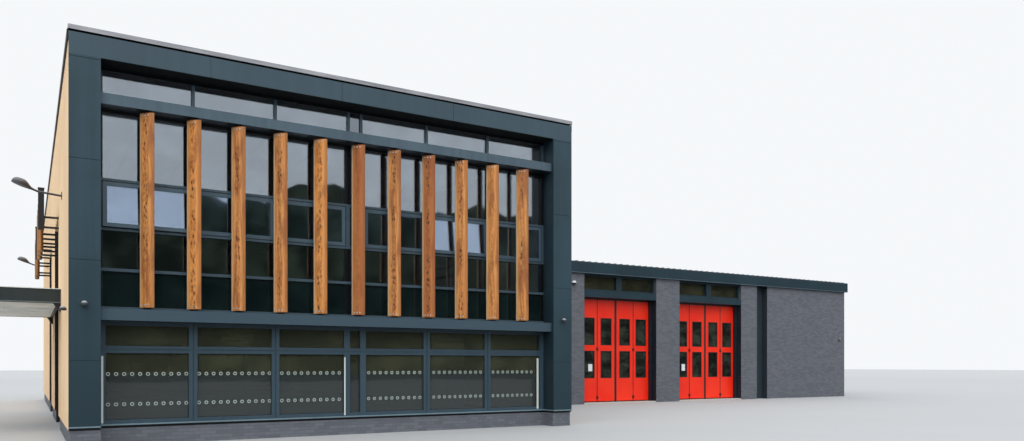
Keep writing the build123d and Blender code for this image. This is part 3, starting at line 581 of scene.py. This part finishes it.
# Timber fins: laminated softwood planed to a lens section and oiled. Each shows a
# flat-sawn face, with dark knots and wavy grain along its middle and straight
# pale grain at its edges. Its slotted ends seat on steel knife plates.
FIN_COUNT = 11
FIN_PITCH = 0.896
FIN_FIRST = (BAY_LINES[0][0] + BAY_LINES[1][-1]) / 2 - (FIN_COUNT // 2) * FIN_PITCH
FIN_Y = 0.20
FIN_TURN = math.radians(-45)
DEEP_FINS = (5.0, 7.0)
CLEAR_FINS = (5.0, 9.0)
timber, pen, shader = finish("oiled_timber", roughness=0.55, specular_ior_level=0.35)
place = place_in(pen)
x, y, z = place.axes()
along = (x - (CORNER.x + FIN_FIRST - FIN_PITCH / 2)) / FIN_PITCH
number = pen.math("FLOOR", along)
own = pen.node("ShaderNodeTexWhiteNoise", {"noise_dimensions": "1D"}, {"W": number})
fin_x = (along - number - 0.5) * FIN_PITCH
fin_y = y - (CORNER.y + FIN_Y)
chord = fin_x * math.cos(FIN_TURN) + fin_y * math.sin(FIN_TURN)
shift = number * 3.7 + own * 11
grain_place = pen.node("ShaderNodeCombineXYZ", inputs={0: chord, 1: shift, 2: z})
drift = grain_place.stretched(1, 1, 0.5).noise(2.2, 2) - 0.5
bent = chord + drift * 0.16
lines_place = pen.node("ShaderNodeCombineXYZ", inputs={0: bent, 1: shift, 2: z})
fine = lines_place.stretched(95, 1, 3.0).noise(1.0, 5, 0.65)
broad = lines_place.stretched(26, 1, 0.9).noise(1.0, 3)
middle = pen.math("ABSOLUTE", chord + drift * 0.05).ramp(0.085, 0.02)
knots = lines_place.node(
    "ShaderNodeTexVoronoi", {"feature": "F1"},
    {"Vector": lines_place.stretched(20, 1, 9), "Scale": 1.0, "Randomness": 1.0},
)
deep, clear = [sum(pen.math("COMPARE", number, n, 0.1) for n in chosen) for chosen in (DEEP_FINS, CLEAR_FINS)]
knotty = grain_place.stretched(1, 1, 1.3).noise(1.0, 2).ramp(0.62, 0.45) * (1 - clear * 0.85)
knot = knots.ramp(0.34, 0.15) * middle * knotty
halo = knots.ramp(0.8, 0.25) * middle * (knotty * 0.7 + 0.3)
waves = lines_place.stretched(1, 1, 0.8).noise(9, 3) * 40 + knots * 9
flame = pen.math("SINE", waves).ramp(-0.2, 0.9) * middle
pale_edge = chord.ramp(-0.095, -0.145)
brown_edge = chord.ramp(0.08, 0.15)
warm = tint(pen, own, seen(226, 142, 62), seen(180, 110, 57))
patches = grain_place.stretched(5, 1, 1.1).noise(1.0, 4, 0.6)
body = tint(pen, broad.ramp(0.3, 0.7), warm, seen(228, 158, 86))
facing = pen.node("ShaderNodeNewGeometry", output="Normal").axes()
# Painted shade: the faces that look back towards the glass are darkened.
back = (facing[0] + facing[1]).ramp(0.3, 0.7)
for mask, colour in (
    (patches.ramp(0.48, 0.66) * 0.65, seen(136, 72, 34)),
    (fine.ramp(0.5, 0.8) * 0.6, seen(112, 60, 26)),
    (deep * 0.6, seen(150, 76, 34)),
    (flame * 0.3, seen(118, 62, 26)),
    (halo * 0.65, seen(122, 60, 24)),
    (pale_edge * 0.75, seen(218, 192, 154)),
    (brown_edge * 0.6, seen(138, 82, 42)),
    (knot * 0.95, seen(44, 22, 12)),
    (back * 0.85, seen(50, 33, 23)),
):
    body = tint(pen, mask, body, colour)
wear(
    pen, shader, colour=body,
    roughness=fine * 0.25 + 0.42,
    relief=fine * 0.5 - knot * 0.6, depth=0.0012,
)
dress(timber, "timber_fins")

# Fin bolts: at each end of a fin, three zinc-plated bolts with washers clamp the
# timber to the knife plate of its bracket, which is let into a slot.
zinc, pen, shader = finish("galvanised_steel", roughness=0.5, metallic=0.6)
place = place_in(pen)
spangle = place.node("ShaderNodeTexVoronoi", {"feature": "F1"}, {"Vector": place, "Scale": 140.0})
wear(pen, shader, colour=tint(pen, spangle, seen(178, 176, 168), seen(208, 206, 198)), roughness=spangle * 0.2 + 0.35)
BOLT_ROW = (-0.078, -0.008, 0.062)
BOLT_EDGE = 0.048
WASHER_DEPTH = 0.003
FIN_HALF = 0.1675
FIN_HALF_THICK = 0.05
FIN_LEVELS = (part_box("timber_fins")[0].z + BOLT_EDGE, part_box("timber_fins")[1].z - BOLT_EDGE)
pen, shape, size = tree_of("hexagon_bolt", Head_radius=0.014, Head_depth=0.008, Washer_radius=0.018, Turn=0.0)
head = pen.node(
    "GeometryNodeMeshCylinder", {"fill_type": "NGON"},
    {"Vertices": 6, "Radius": size["Head_radius"], "Depth": size["Head_depth"]},
)
washer = pen.node(
    "GeometryNodeMeshCylinder", {"fill_type": "NGON"},
    {"Vertices": 14, "Radius": size["Washer_radius"], "Depth": WASHER_DEPTH},
)
lift = pen.node("ShaderNodeCombineXYZ", inputs={2: size["Head_depth"] * 0.5 + WASHER_DEPTH / 2})
head = pen.node("GeometryNodeTransform", inputs={0: head, "Translation": lift})
facing = pen.node("ShaderNodeCombineXYZ", inputs={0: math.pi / 2, 2: size["Turn"]})
whole = together(pen, (head, washer))
bolts = pen.node("GeometryNodeInstanceOnPoints", inputs={0: shape, "Instance": whole, "Rotation": facing})
bolt_tree = close(bolts, zinc)
bolt_meshes = []
for face in (1, -1):
    places = []
    for n in range(FIN_COUNT):
        for level in FIN_LEVELS:
            for c in BOLT_ROW:
                out = FIN_HALF_THICK * math.sqrt(1 - (c / FIN_HALF) ** 2) + 0.001
                off = Matrix.Rotation(FIN_TURN, 3, "Z") @ Vector((c, -face * out, 0))
                places.append(at(FIN_FIRST + n * FIN_PITCH, FIN_Y, level) + off)
    turn = FIN_TURN if face == 1 else FIN_TURN + math.pi
    bolt_meshes.append(grow("bolts", bolt_tree, points(places), Turn=turn))
keep("fin_bolts", bolt_meshes)

# Brickwork: dark grey facing bricks in half bond, 215 by 65 mm, on bed joints
# of recessed grey mortar. Each brick is fired to a slightly different shade.
BRICK = (0.215, 0.065)
SMALLEST_CUT = 0.015
JOINT = 0.010
PROUD = 0.004
UNEVEN = 0.0008
mortar, pen, shader = finish("mortar_and_blockwork", roughness=0.9)
place = place_in(pen)
wear(
    pen, shader,
    colour=tint(pen, place.noise(6), seen(84, 85, 90), seen(104, 105, 110)),
    relief=place.noise(220), depth=0.001,
)
brick_face, pen, shader = finish("grey_brick_faces", roughness=0.8, specular_ior_level=0.3)
place = place_in(pen)
shade = pen.node("ShaderNodeAttribute", {"attribute_name": "shade"}, output="Fac")
grit = place.noise(160, 4)
body = tint(pen, shade, seen(97, 100, 107), seen(111, 114, 121))
body = tint(pen, grit.ramp(0.62, 0.75) * 0.5, body, seen(136, 137, 140))
wear(pen, shader, colour=body, roughness=grit * 0.3 + 0.65, relief=grit, depth=0.0012)

pen, shape, size = tree_of(
    "half_bond_brickwork",
    Width=1.0, Height=1.0, Brick_length=BRICK[0], Brick_height=BRICK[1], Joint=JOINT, Proud=PROUD, Seed=3,
)
pitch_x, pitch_z = size["Brick_length"] + size["Joint"], size["Brick_height"] + size["Joint"]
columns = pen.math("CEIL", size["Width"] / pitch_x) + 1
rows = pen.math("CEIL", size["Height"] / pitch_z)
dots = pen.node("GeometryNodeMeshLine", inputs={"Count": columns * rows, "Offset": (0, 0, 0)})
index = pen.node("GeometryNodeInputIndex")
row = pen.math("FLOOR", (index + 0.5) / columns)
column = index - row * columns
start = (column - (row % 2) * 0.5) * pitch_x
left = pen.math("MAXIMUM", start, 0.0)
right = pen.math("MINIMUM", start + size["Brick_length"], size["Width"])
low = row * pitch_z
high = pen.math("MINIMUM", low + size["Brick_height"], size["Height"])
kept = ((right - left) > SMALLEST_CUT) * ((high - low) > SMALLEST_CUT)


def drawn(seed, least, most):
    """A random number for each brick, between two values."""
    inputs = {"ID": index, "Seed": seed, 2: least, 3: most}
    return pen.node("FunctionNodeRandomValue", {"data_type": "FLOAT"}, inputs, output=1)


depth = drawn(size["Seed"], -UNEVEN, UNEVEN) - size["Proud"] * 0.5
tone = drawn(size["Seed"] + 1, 0.0, 1.0)
centre = pen.node("ShaderNodeCombineXYZ", inputs={0: (left + right) * 0.5, 1: depth, 2: (low + high) * 0.5})
placed = pen.node("GeometryNodeSetPosition", inputs={"Geometry": dots, "Position": centre})
cube = pen.node("GeometryNodeMeshCube", inputs={"Size": (1, 1, 1)})
extent = pen.node("ShaderNodeCombineXYZ", inputs={0: right - left, 1: size["Proud"], 2: high - low})
laid = pen.node(
    "GeometryNodeInstanceOnPoints", inputs={"Points": placed, "Selection": kept, "Instance": cube, "Scale": extent}
)
toned = pen.node(
    "GeometryNodeStoreNamedAttribute", {"data_type": "FLOAT", "domain": "INSTANCE"},
    {"Geometry": laid, "Name": "shade", "Value": tone},
)
brick_tree = close(toned, brick_face)


def brickwork(name, panels):
    """Bricks over flat panels: each a lower left point seen from outside, a turn about Z, a width and a height."""
    meshes = []
    for n, (origin, turn, width, height) in enumerate(panels):
        mesh = grow("bricks", brick_tree, points([(0, 0, 0)]), Width=width, Height=height, Seed=7 * n)
        mesh.transform(Matrix.Translation(origin) @ Matrix.Rotation(turn, 4, "Z"))
        meshes.append(mesh)
    keep(name, meshes)


def runs(start, end, gaps):
    """The solid lengths between gaps."""
    edges = [start] + [v for gap in gaps for v in gap] + [end]
    return list(zip(edges[::2], edges[1::2]))


BLOCK_DEPTH = 26.0
HALL_FRONT = 9.07
HALL_REAR = 24.07
NEAR_SLOT = (5.6, 8.6)
FAR_SLOT = (12.1, 14.7)
PLINTH_TOP = 0.35
INSET = 0.035
SETBACK = 0.48
WALL = 0.30
LEFT_PIER = 0.55
RIGHT_PIER = 0.585
QUARTER = math.pi / 2
front_panels = [
    (at(WALL, INSET, 0), 0, LEFT_PIER - WALL, PLINTH_TOP),
    (at(FRONT_WIDTH - RIGHT_PIER, INSET, 0), 0, RIGHT_PIER - WALL, PLINTH_TOP),
    (at(LEFT_PIER, SETBACK, 0), 0, FRONT_WIDTH - LEFT_PIER - RIGHT_PIER, PLINTH_TOP),
    (at(LEFT_PIER, INSET, 0), QUARTER, SETBACK - INSET, PLINTH_TOP),
    (at(FRONT_WIDTH - RIGHT_PIER, SETBACK, 0), -QUARTER, SETBACK - INSET, PLINTH_TOP),
    (at(INSET, INSET, 0), 0, WALL - INSET, PLINTH_TOP),
    (at(FRONT_WIDTH - WALL, INSET, 0), 0, WALL - INSET, PLINTH_TOP),
]
brickwork("front_plinth_bricks", front_panels)
rear = BLOCK_DEPTH - INSET
left_runs = runs(INSET, rear, (NEAR_SLOT, FAR_SLOT))
right_runs = runs(INSET, rear, (NEAR_SLOT, (HALL_FRONT, HALL_REAR)))
side_panels = [(at(INSET, b, 0), -QUARTER, b - a, PLINTH_TOP) for a, b in left_runs]
side_panels += [(at(FRONT_WIDTH - INSET, a, 0), QUARTER, b - a, PLINTH_TOP) for a, b in right_runs]
side_panels.append((at(FRONT_WIDTH - INSET, rear, 0), math.pi, FRONT_WIDTH - 2 * INSET, PLINTH_TOP))
brickwork("side_plinth_bricks", side_panels)
dress(mortar, "pier_plinths", "end_plinths", "side_plinths")

# Flashings and sills: folded aluminium drips that throw rain clear of the brick plinth, over a gap. The gap is
# painted shadow: the metal below each drip is near black, and black strips fill it under the piers.
DRIP_FOOT = PLINTH_TOP + 0.053
drip_metal = powder_coat(
    "sill_aluminium", seen(116, 136, 144), roughness=0.35, mottle=0.06,
    shaded=lambda place: place.axes()[2] < DRIP_FOOT,
)
dress(drip_metal, "flashings")
BASE_STRIP_FACE = 0.046
BASE_STRIP_DEPTH = 0.004
BASE_STRIP_HEIGHT = 0.04
# Black strips under the piers: painted shadow in the gap.
strips = bmesh.new()
for left, right in ((0.0, LEFT_PIER), (FRONT_WIDTH - RIGHT_PIER, FRONT_WIDTH)):
    a = at(left, BASE_STRIP_FACE, PLINTH_TOP)
    block(strips, a, at(right, BASE_STRIP_FACE + BASE_STRIP_DEPTH, PLINTH_TOP + BASE_STRIP_HEIGHT))
piece("base_strips", strips, rubber)

# Rendered walls: one coat of fine cream render floated smooth over blockwork,
# with plaster inside. Rain has washed it slightly darker near the ground.
PLASTER_LINE = 0.2
render_coat, pen, shader = finish("cream_render", roughness=0.85, specular_ior_level=0.25)
place = place_in(pen)
x, y, z = place.axes()
inside = (x > CORNER.x + PLASTER_LINE) * (x < CORNER.x + FRONT_WIDTH - PLASTER_LINE)
inside = inside * (y < CORNER.y + BLOCK_DEPTH - PLASTER_LINE)
cloud = place.noise(0.5, 5)
streaks = place.stretched(5, 5, 0.25).noise(1.0, 4)
splash = z.ramp(1.4, 0.35) * place.noise(2.5, 4).ramp(0.3, 0.7)
body = tint(pen, cloud.ramp(0.3, 0.7), seen(232, 196, 152), seen(240, 207, 166))
body = tint(pen, streaks.ramp(0.55, 0.8) * 0.25, body, seen(196, 160, 122))
body = tint(pen, splash * 0.25, body, seen(178, 146, 112))
body = tint(pen, inside, body, seen(206, 204, 196))
wear(pen, shader, colour=body, roughness=cloud * 0.1 + 0.8, relief=place.noise(320, 3), depth=0.0015)
dress(render_coat, "left_wall", "right_wall", "slot_heads", "rear_wall", "rear_piers")

# Side fins, arms and capped posts on the left wall: the same oiled timber on
# flat steel arms, painted black.
side_timber, pen, shader = finish("side_timber", roughness=0.6, specular_ior_level=0.3)
place = place_in(pen)
grain = place.stretched(60, 60, 3).noise(1.0, 5, 0.65)
wear(
    pen, shader,
    colour=tint(pen, grain.ramp(0.3, 0.75), seen(176, 122, 70), seen(118, 74, 40)),
    roughness=grain * 0.2 + 0.5, relief=grain, depth=0.001,
)
dress(side_timber, "side_fins")
dark_steel = powder_coat("black_steel", seen(34, 36, 40), roughness=0.45)
# The front fins' brackets are painted black as the shade of the gap under each fin.
dress(dark_steel, "side_brackets", "side_posts", "canopy_corbels", "fin_brackets")

# Slot linings: dark sheets on both jambs of each tall side slot, from the wall's face back to the window frame:
# painted shade of the slots' reveals.
SLOT_SETBACK = 0.14
LINING_DEPTH = 0.003
LEFT_JAMB = (0.0, SLOT_SETBACK)
RIGHT_JAMB = (FRONT_WIDTH - SLOT_SETBACK, FRONT_WIDTH)
SLOTS = ((LEFT_JAMB, *NEAR_SLOT, 5.4), (RIGHT_JAMB, *NEAR_SLOT, 5.4), (LEFT_JAMB, *FAR_SLOT, 5.3))
shade_lining_coat = powder_coat("slot_shade_lining_coat", seen(50, 40, 40), roughness=0.5)
slot_shade_linings = bmesh.new()
for (left, right), near, far, head in SLOTS:
    for y in (near, far - LINING_DEPTH):
        block(slot_shade_linings, at(left, y, PLINTH_TOP), at(right, y + LINING_DEPTH, head))
        a = at(max(left, INSET), y, 0.01)
        block(slot_shade_linings, a, at(min(right, FRONT_WIDTH - INSET), y + LINING_DEPTH, PLINTH_TOP))
piece("slot_shade_linings", slot_shade_linings, shade_lining_coat)

# Verge trims: dark pressed sheet along the head of both side walls, folded over the render below the coping and
# screwed from below. Its near-black colour is painted shade under the coping.
VERGE_DROP = 0.14
VERGE_RISE = 0.03
VERGE_END = 0.02
VERGE_FACES = ((-0.03, -0.001), (FRONT_WIDTH + 0.001, FRONT_WIDTH + 0.011))
verge_coat = powder_coat("verge_coat", seen(38, 36, 38), roughness=0.6)
low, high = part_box("coping")
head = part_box("left_wall")[1].z
verges = bmesh.new()
for left, right in VERGE_FACES:
    a = Vector((CORNER.x + left, low.y + VERGE_END, head - VERGE_DROP))
    block(verges, a, Vector((CORNER.x + right, high.y - VERGE_END, head + VERGE_RISE)))
piece("verge_trims", verges, verge_coat)

# Entrance canopy: a frame of steel channels with a thin turned lip, cross rafters, and a ribbed translucent sheet
# laid on top and another fixed below. The sheets let some daylight through, and a faint glow in patches is painted
# light.
RIB_WAVE = 0.076
canopy_steel = powder_coat("canopy_steel", seen(44, 54, 57), roughness=0.4, mottle=0.08)
dress(canopy_steel, "canopy_frame")
sheet, pen, shader = finish("translucent_sheet", alpha=0.75, roughness=0.35, emission_strength=0.3)
place = place_in(pen)
wear(
    pen, shader,
    colour=tint(pen, place.noise(3, 5), seen(196, 204, 204), seen(222, 228, 226)),
    emission_color=tint(pen, place.noise(1.3, 3).ramp(0.35, 0.65), seen(150, 156, 146), seen(214, 206, 200)),
    relief=pen.math("SINE", place.axes()[1] * (2 * math.pi / RIB_WAVE)), depth=0.004,
)
dress(sheet, "canopy_sheet")
low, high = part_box("canopy_frame")
CHANNEL = 0.08
CANOPY_BAYS = 7
PANEL_FOOT = 0.006
PANEL_HEAD = 0.010
PANEL_GAP = Vector((0.002, 0.012, 0))
span = (high.y - low.y - 2 * CHANNEL) / CANOPY_BAYS
underside = bmesh.new()
for n in range(CANOPY_BAYS):
    y = low.y + CHANNEL + n * span
    a = Vector((low.x + CHANNEL, y, low.z + PANEL_FOOT))
    b = Vector((high.x - CHANNEL, y + span, low.z + PANEL_HEAD))
    block(underside, a + PANEL_GAP, b - PANEL_GAP)
piece("canopy_underside", underside, sheet)
LIP = 0.012
LOWER_LIP_HEAD = 0.030
bright_lip = powder_coat("bright_lip", seen(112, 122, 124), roughness=0.35, mottle=0.06)
for name, foot, head, coat in (
    ("canopy_lower_lips", low.z + LIP, low.z + LOWER_LIP_HEAD, bright_lip),
    ("canopy_upper_lips", high.z - LIP, high.z, canopy_steel),
):
    lips = bmesh.new()
    for y in (low.y - LIP, high.y):
        block(lips, Vector((low.x, y, foot)), Vector((high.x, y + LIP, head)))
    piece(name, lips, coat)

# Outside lights: cast aluminium lamp heads with a frosted lens below, on
# tube arms, and small bulkhead lights.
lamp_metal, pen, shader = finish("lamp_casting", roughness=0.5, metallic=0.2)
place = place_in(pen)
upward = pen.node("ShaderNodeNewGeometry", output="Normal").axes()[2]
# Painted highlight: faces that look up turn pale, fully on the low lights and less on the high lamps.
low_down = place.axes()[2].ramp(4.0, 3.5)
above = upward.ramp(0.1, 0.9) * (low_down * 0.6 + 0.4)
cast = tint(pen, place.noise(12, 4), seen(52, 50, 56), seen(70, 68, 74))
wear(
    pen, shader,
    colour=tint(pen, above, cast, seen(186, 188, 192)),
    roughness=place.noise(30) * 0.2 + 0.4, relief=place.noise(300), depth=0.0004,
)
dress(lamp_metal, "outside_lights")

# Dome on the hall wall: a white moulded housing on a short wall plate, with a
# smoked lower half, over the gap between the block and the first doorway.
DOME = at(18.34, 8.96, 4.97)
DOME_PLATE = (Vector((-0.05, 0.05, -0.035)), Vector((0.05, 0.11, 0.055)))
housing, pen, shader = finish("dome_housing", roughness=0.4)
place = place_in(pen)
smoked = place.axes()[2] < DOME.z - 0.01
body = tint(pen, place.noise(20), seen(206, 208, 208), seen(222, 224, 224))
wear(pen, shader, colour=tint(pen, smoked, body, seen(24, 26, 28)))
dome = bmesh.new()
bmesh.ops.create_uvsphere(dome, u_segments=28, v_segments=16, radius=0.09, matrix=Matrix.Translation(DOME))
block(dome, DOME + DOME_PLATE[0], DOME + DOME_PLATE[1])
piece("hall_dome", dome, housing)

# Appliance hall walls: the same dark brick over the whole height, with
# painted blockwork inside.
HALL_END = 35.715
HALL_TOP = 5.4
DOORS = ((18.93, 22.83), (24.195, 28.095))
RECESS = (29.155, 29.875)
LINTEL_TOP = 4.71
dress(mortar, "hall_front_wall", "hall_rear_wall", "hall_rear_panels", "hall_end_wall")
brickwork(
    "hall_front_bricks",
    [(at(a, HALL_FRONT, 0), 0, b - a, HALL_TOP) for a, b in runs(FRONT_WIDTH, HALL_END, (*DOORS, RECESS))],
)
rear_panels = [(at(b, HALL_REAR, 0), math.pi, b - a, HALL_TOP) for a, b in runs(FRONT_WIDTH, HALL_END, DOORS)]
rear_panels += [(at(b, HALL_REAR, 0), math.pi, b - a, LINTEL_TOP) for a, b in DOORS]
brickwork("hall_rear_bricks", rear_panels)
brickwork("hall_end_bricks", [(at(HALL_END, HALL_FRONT, 0), QUARTER, HALL_REAR - HALL_FRONT, HALL_TOP)])

# Hall roof: profiled steel sheet with trapezoid ribs at 333 mm, running from
# eaves to ridge, over a fascia gutter with a folded lower edge.
roof_steel = powder_coat("roof_steel", seen(92, 100, 104), roughness=0.5, mottle=0.1)
dress(roof_steel, "hall_roof")
RIB_PITCH = 0.333
low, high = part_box("hall_roof")
pen, shape, size = tree_of("roof_ribs", Pitch=RIB_PITCH, Count=72, Rib_width=0.06, Rib_height=0.032)
path = pen.node("GeometryNodeMeshToCurve", inputs={0: shape})
bar = pen.node(
    "GeometryNodeCurvePrimitiveQuadrilateral", {"mode": "TRAPEZOID"},
    {
        "Height": size["Rib_height"], "Bottom Width": size["Rib_width"],
        "Top Width": size["Rib_width"] * 0.5, "Offset": 0,
    },
)
rib = pen.node("GeometryNodeCurveToMesh", inputs={"Curve": path, "Profile Curve": bar, "Fill Caps": True})
step = pen.node("ShaderNodeCombineXYZ", inputs={0: size["Pitch"]})
spots = pen.node("GeometryNodeMeshLine", inputs={"Count": size["Count"], "Offset": step})
ribs = pen.node("GeometryNodeInstanceOnPoints", inputs={"Points": spots, "Instance": rib})
rib_tree = close(ribs, roof_steel)
RIB_START = 0.08
RIB_SEAT = 0.012
EAVE_EDGE = 0.016
EAVE_RISE = 0.02
foot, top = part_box("hall_fascia")
start = low.x + RIB_START
eave = top.z + EAVE_RISE + RIB_SEAT
path = bpy.data.meshes.new("rib_path")
path.from_pydata(
    [
        (start, low.y + EAVE_EDGE, eave),
        (start, (low.y + high.y) / 2, high.z + RIB_SEAT),
        (start, high.y - EAVE_EDGE, eave),
    ],
    [(0, 1), (1, 2)], [],
)
keep("roof_ribs", [grow("ribs", rib_tree, path, Count=int((high.x - low.x) / RIB_PITCH))])
DRIP_DEPTH = 0.008
DRIP_HEIGHT = 0.02
edge_metal = powder_coat("fascia_edge", seen(96, 112, 122), roughness=0.35)
drips = bmesh.new()
for y in (foot.y - DRIP_DEPTH, top.y):
    block(drips, Vector((foot.x, y, foot.z)), Vector((top.x, y + DRIP_DEPTH, foot.z + DRIP_HEIGHT)))
piece("fascia_drips", drips, edge_metal)

# Folding doors: pressed steel leaves in gloss red powder coat, with black
# rubber around each light, laminated glass and bare white notices.
red_coat, pen, shader = finish("gloss_red", roughness=0.3, coat_roughness=0.12, specular_ior_level=0.3)
place = place_in(pen)
cloud = place.noise(1.2, 5)
wear(
    pen, shader,
    colour=tint(pen, cloud.ramp(0.3, 0.7), seen(250, 40, 14), seen(255, 52, 20)),
    roughness=cloud * 0.15 + 0.25, coat_weight=cloud * 0.1 + 0.05,
    relief=place.noise(240), depth=0.0003,
)
dress(red_coat, "left_door_leaves", "right_door_leaves")
dress(pane_of("door_glass", seen(34, 36, 32), 0.8, 0.25, patchy=seen(74, 80, 68)), "door_glass")
JAMB = 0.107
LEAF_GAP = 0.010
MEETING = 0.076
LEAVES = (0.850, 0.935, 0.935, 0.850)
LIGHT_WIDTH = 0.558
LIGHT_ROWS = ((1.077, 2.209), (2.471, 3.600))
LEAF_FACE = 9.47
LEAF_THICK = 0.06
LEAF_FOOT = 0.03
LEAF_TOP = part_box("left_door_leaves")[1].z
JOINT_STRIPS = (0.036, 0.110, 0.030)
STRIP_FACES = (LEAF_FACE - 0.007, LEAF_FACE - 0.004, LEAF_FACE - 0.001)
HEAD_SHADOW_STRIP = 0.055
SEAL_WIDTH = 0.03
SEAL_LAP = 0.012
SEAL_PROUD = 0.006
SEAL_SUNK = 0.018
NOTICE = Vector((0.21, 0.001, 0.30))
NOTICE_PLACE = (0.25, 0.0165, 1.36)
seals, notices, covers = bmesh.new(), bmesh.new(), bmesh.new()
for start, end in DOORS:
    left = start + JAMB + LEAF_GAP
    joint = left + LEAVES[0] + LEAF_GAP / 2
    meeting = left + sum(LEAVES[:2]) + LEAF_GAP + MEETING / 2
    far_joint = meeting + MEETING / 2 + LEAVES[2] + LEAF_GAP / 2
    # Black strips over the leaf joints: rubber seals, made wide enough to stand also for the shade in the joints.
    for middle, wide in zip((joint, meeting, far_joint), JOINT_STRIPS):
        a = at(middle - wide / 2, STRIP_FACES[1], LEAF_FOOT)
        block(covers, a, at(middle + wide / 2, STRIP_FACES[2], LEAF_TOP))
    # A black strip along the head of the leaves: painted shadow under the lintel.
    a = at(start + JAMB, STRIP_FACES[0], LEAF_TOP - HEAD_SHADOW_STRIP)
    block(covers, a, at(end - JAMB, STRIP_FACES[1], LEAF_TOP))
    for n, width in enumerate(LEAVES):
        light = left + (width - LIGHT_WIDTH) / 2
        for low, high in LIGHT_ROWS:
            for face, out in ((LEAF_FACE, -1), (LEAF_FACE + LEAF_THICK, 1)):
                a, b = at(light, face, low), at(light + LIGHT_WIDTH, face, high)
                rim = (a.x - SEAL_LAP, b.x + SEAL_LAP, a.z - SEAL_LAP, b.z + SEAL_LAP)
                ring_of(seals, rim, SEAL_WIDTH, a.y + out * SEAL_PROUD, a.y - out * SEAL_SUNK)
        if n == 0:
            a = at(light + NOTICE_PLACE[0], LEAF_FACE + NOTICE_PLACE[1], NOTICE_PLACE[2])
            block(notices, a, a + NOTICE)
        left += width + (MEETING if n == 1 else LEAF_GAP)
piece("door_light_seals", seals, rubber)
piece("door_cover_strips", covers, rubber)
paper, pen, shader = finish("bare_notice", roughness=0.7)
place = place_in(pen)
wear(pen, shader, colour=tint(pen, place.noise(15), seen(226, 230, 230), seen(238, 240, 240)))
piece("door_notices", notices, paper)

# Floor and light: a pale studio floor under a soft white sky, and a low dark
# card all round, with an uneven top, that only the glass and metal mirror.
FLOOR_HALF = 250.0
FLOOR_DROP = 0.002


def looked_at(pen):
    """1 for the camera, for mirrors and through glass; 0 where the surface only lights others."""
    ray = pen.node("ShaderNodeLightPath").socket.node.outputs
    kinds = [Wire(pen.tree, ray[kind]) for kind in ("Is Camera Ray", "Is Glossy Ray", "Is Transmission Ray")]
    return pen.math("MAXIMUM", pen.math("MAXIMUM", kinds[0], kinds[1]), kinds[2])


floor_paint, pen, shader = finish("pale_floor", roughness=0.9, specular_ior_level=0.2)
place = place_in(pen)
pale = tint(pen, place.noise(0.2), seen(178, 178, 178), seen(183, 183, 183))
wear(pen, shader, colour=tint(pen, looked_at(pen), seen(92, 92, 94), pale))
floor_mesh = bmesh.new()
bmesh.ops.create_grid(floor_mesh, x_segments=1, y_segments=1, size=FLOOR_HALF)
floor = linked("floor", coated("floor", floor_mesh, floor_paint))
floor.location.z = -FLOOR_DROP

CARD_RADIUS = 75.0
CARD_TOP = 17.8
WAVES = ((0.22, 1.3, 0), (0.14, 3.7, 1))
HUMPS = ((6.0, 1.8, 1.8), (9.8, 2.2, 2.4), (25.1, 2.6, 1.1))
card_paint, pen, shader = finish("card", roughness=1.0, specular_ior_level=0.0)
mottled = place_in(pen).noise(0.25, 5, 0.6).ramp(0.35, 0.7)
wear(pen, shader, colour=tint(pen, mottled, seen(38, 46, 38), seen(86, 95, 80)))
card_mesh = bmesh.new()
bmesh.ops.create_cone(
    card_mesh, segments=480, radius1=CARD_RADIUS, radius2=CARD_RADIUS, depth=CARD_TOP,
    matrix=Matrix.Translation((0, 0, CARD_TOP / 2)),
)
for vert in card_mesh.verts:
    if vert.co.z > CARD_TOP / 2:
        across = math.atan2(vert.co.x, -vert.co.y) * CARD_RADIUS
        vert.co.z += sum(rise * math.sin(across * rate + start) for rise, rate, start in WAVES)
        vert.co.z += sum(rise * math.exp(-(((across - middle) / half) ** 2)) for middle, half, rise in HUMPS)
bmesh.ops.reverse_faces(card_mesh, faces=card_mesh.faces)
card = linked("dark_card", coated("dark_card", card_mesh, card_paint))
for ray in ("camera", "diffuse", "shadow", "transmission", "volume_scatter"):
    setattr(card, f"visible_{ray}", False)

world = bpy.data.worlds.new("soft_sky")
bpy.context.scene.world = world
world.use_nodes = True
world.node_tree.nodes.clear()
pen = Wire(world.node_tree)
shown = looked_at(pen)
colour = tint(pen, shown, (0.90, 0.95, 1.0), (0.92, 0.94, 0.96))
sky = pen.node("ShaderNodeBackground", inputs={"Color": colour, "Strength": 1.25 - shown * 0.25})
pen.node("ShaderNodeOutputWorld", inputs={0: sky})

for name, energy, spread, tilt, turn in (("overcast_sun", 1.05, 60, 42, -22), ("open_left_sky", 0.75, 80, 72, -82)):
    lamp = bpy.data.lights.new(name, "SUN")
    lamp.energy = energy
    lamp.angle = math.radians(spread)
    linked(name, lamp).rotation_euler = (math.radians(tilt), 0, math.radians(turn))

# Camera: at eye height across the forecourt, level, with the lens shifted up
# to keep the verticals upright.
IMAGE_WIDTH, IMAGE_HEIGHT = 1024, 441
HORIZON_ROW = 365
FOCAL_PIXELS = 797.5
lens = bpy.data.cameras.new("camera")
lens.sensor_width = 36
lens.lens = lens.sensor_width * FOCAL_PIXELS / IMAGE_WIDTH
lens.shift_y = (HORIZON_ROW - IMAGE_HEIGHT / 2) / IMAGE_WIDTH
lens.clip_end = 600
camera = linked("camera", lens)
camera.location = at(-0.685, -17.43, 1.62)
camera.rotation_euler = (math.pi / 2, 0, -math.radians(31.33))
bpy.context.scene.camera = camera
bpy.context.scene.view_settings.view_transform = "Standard"
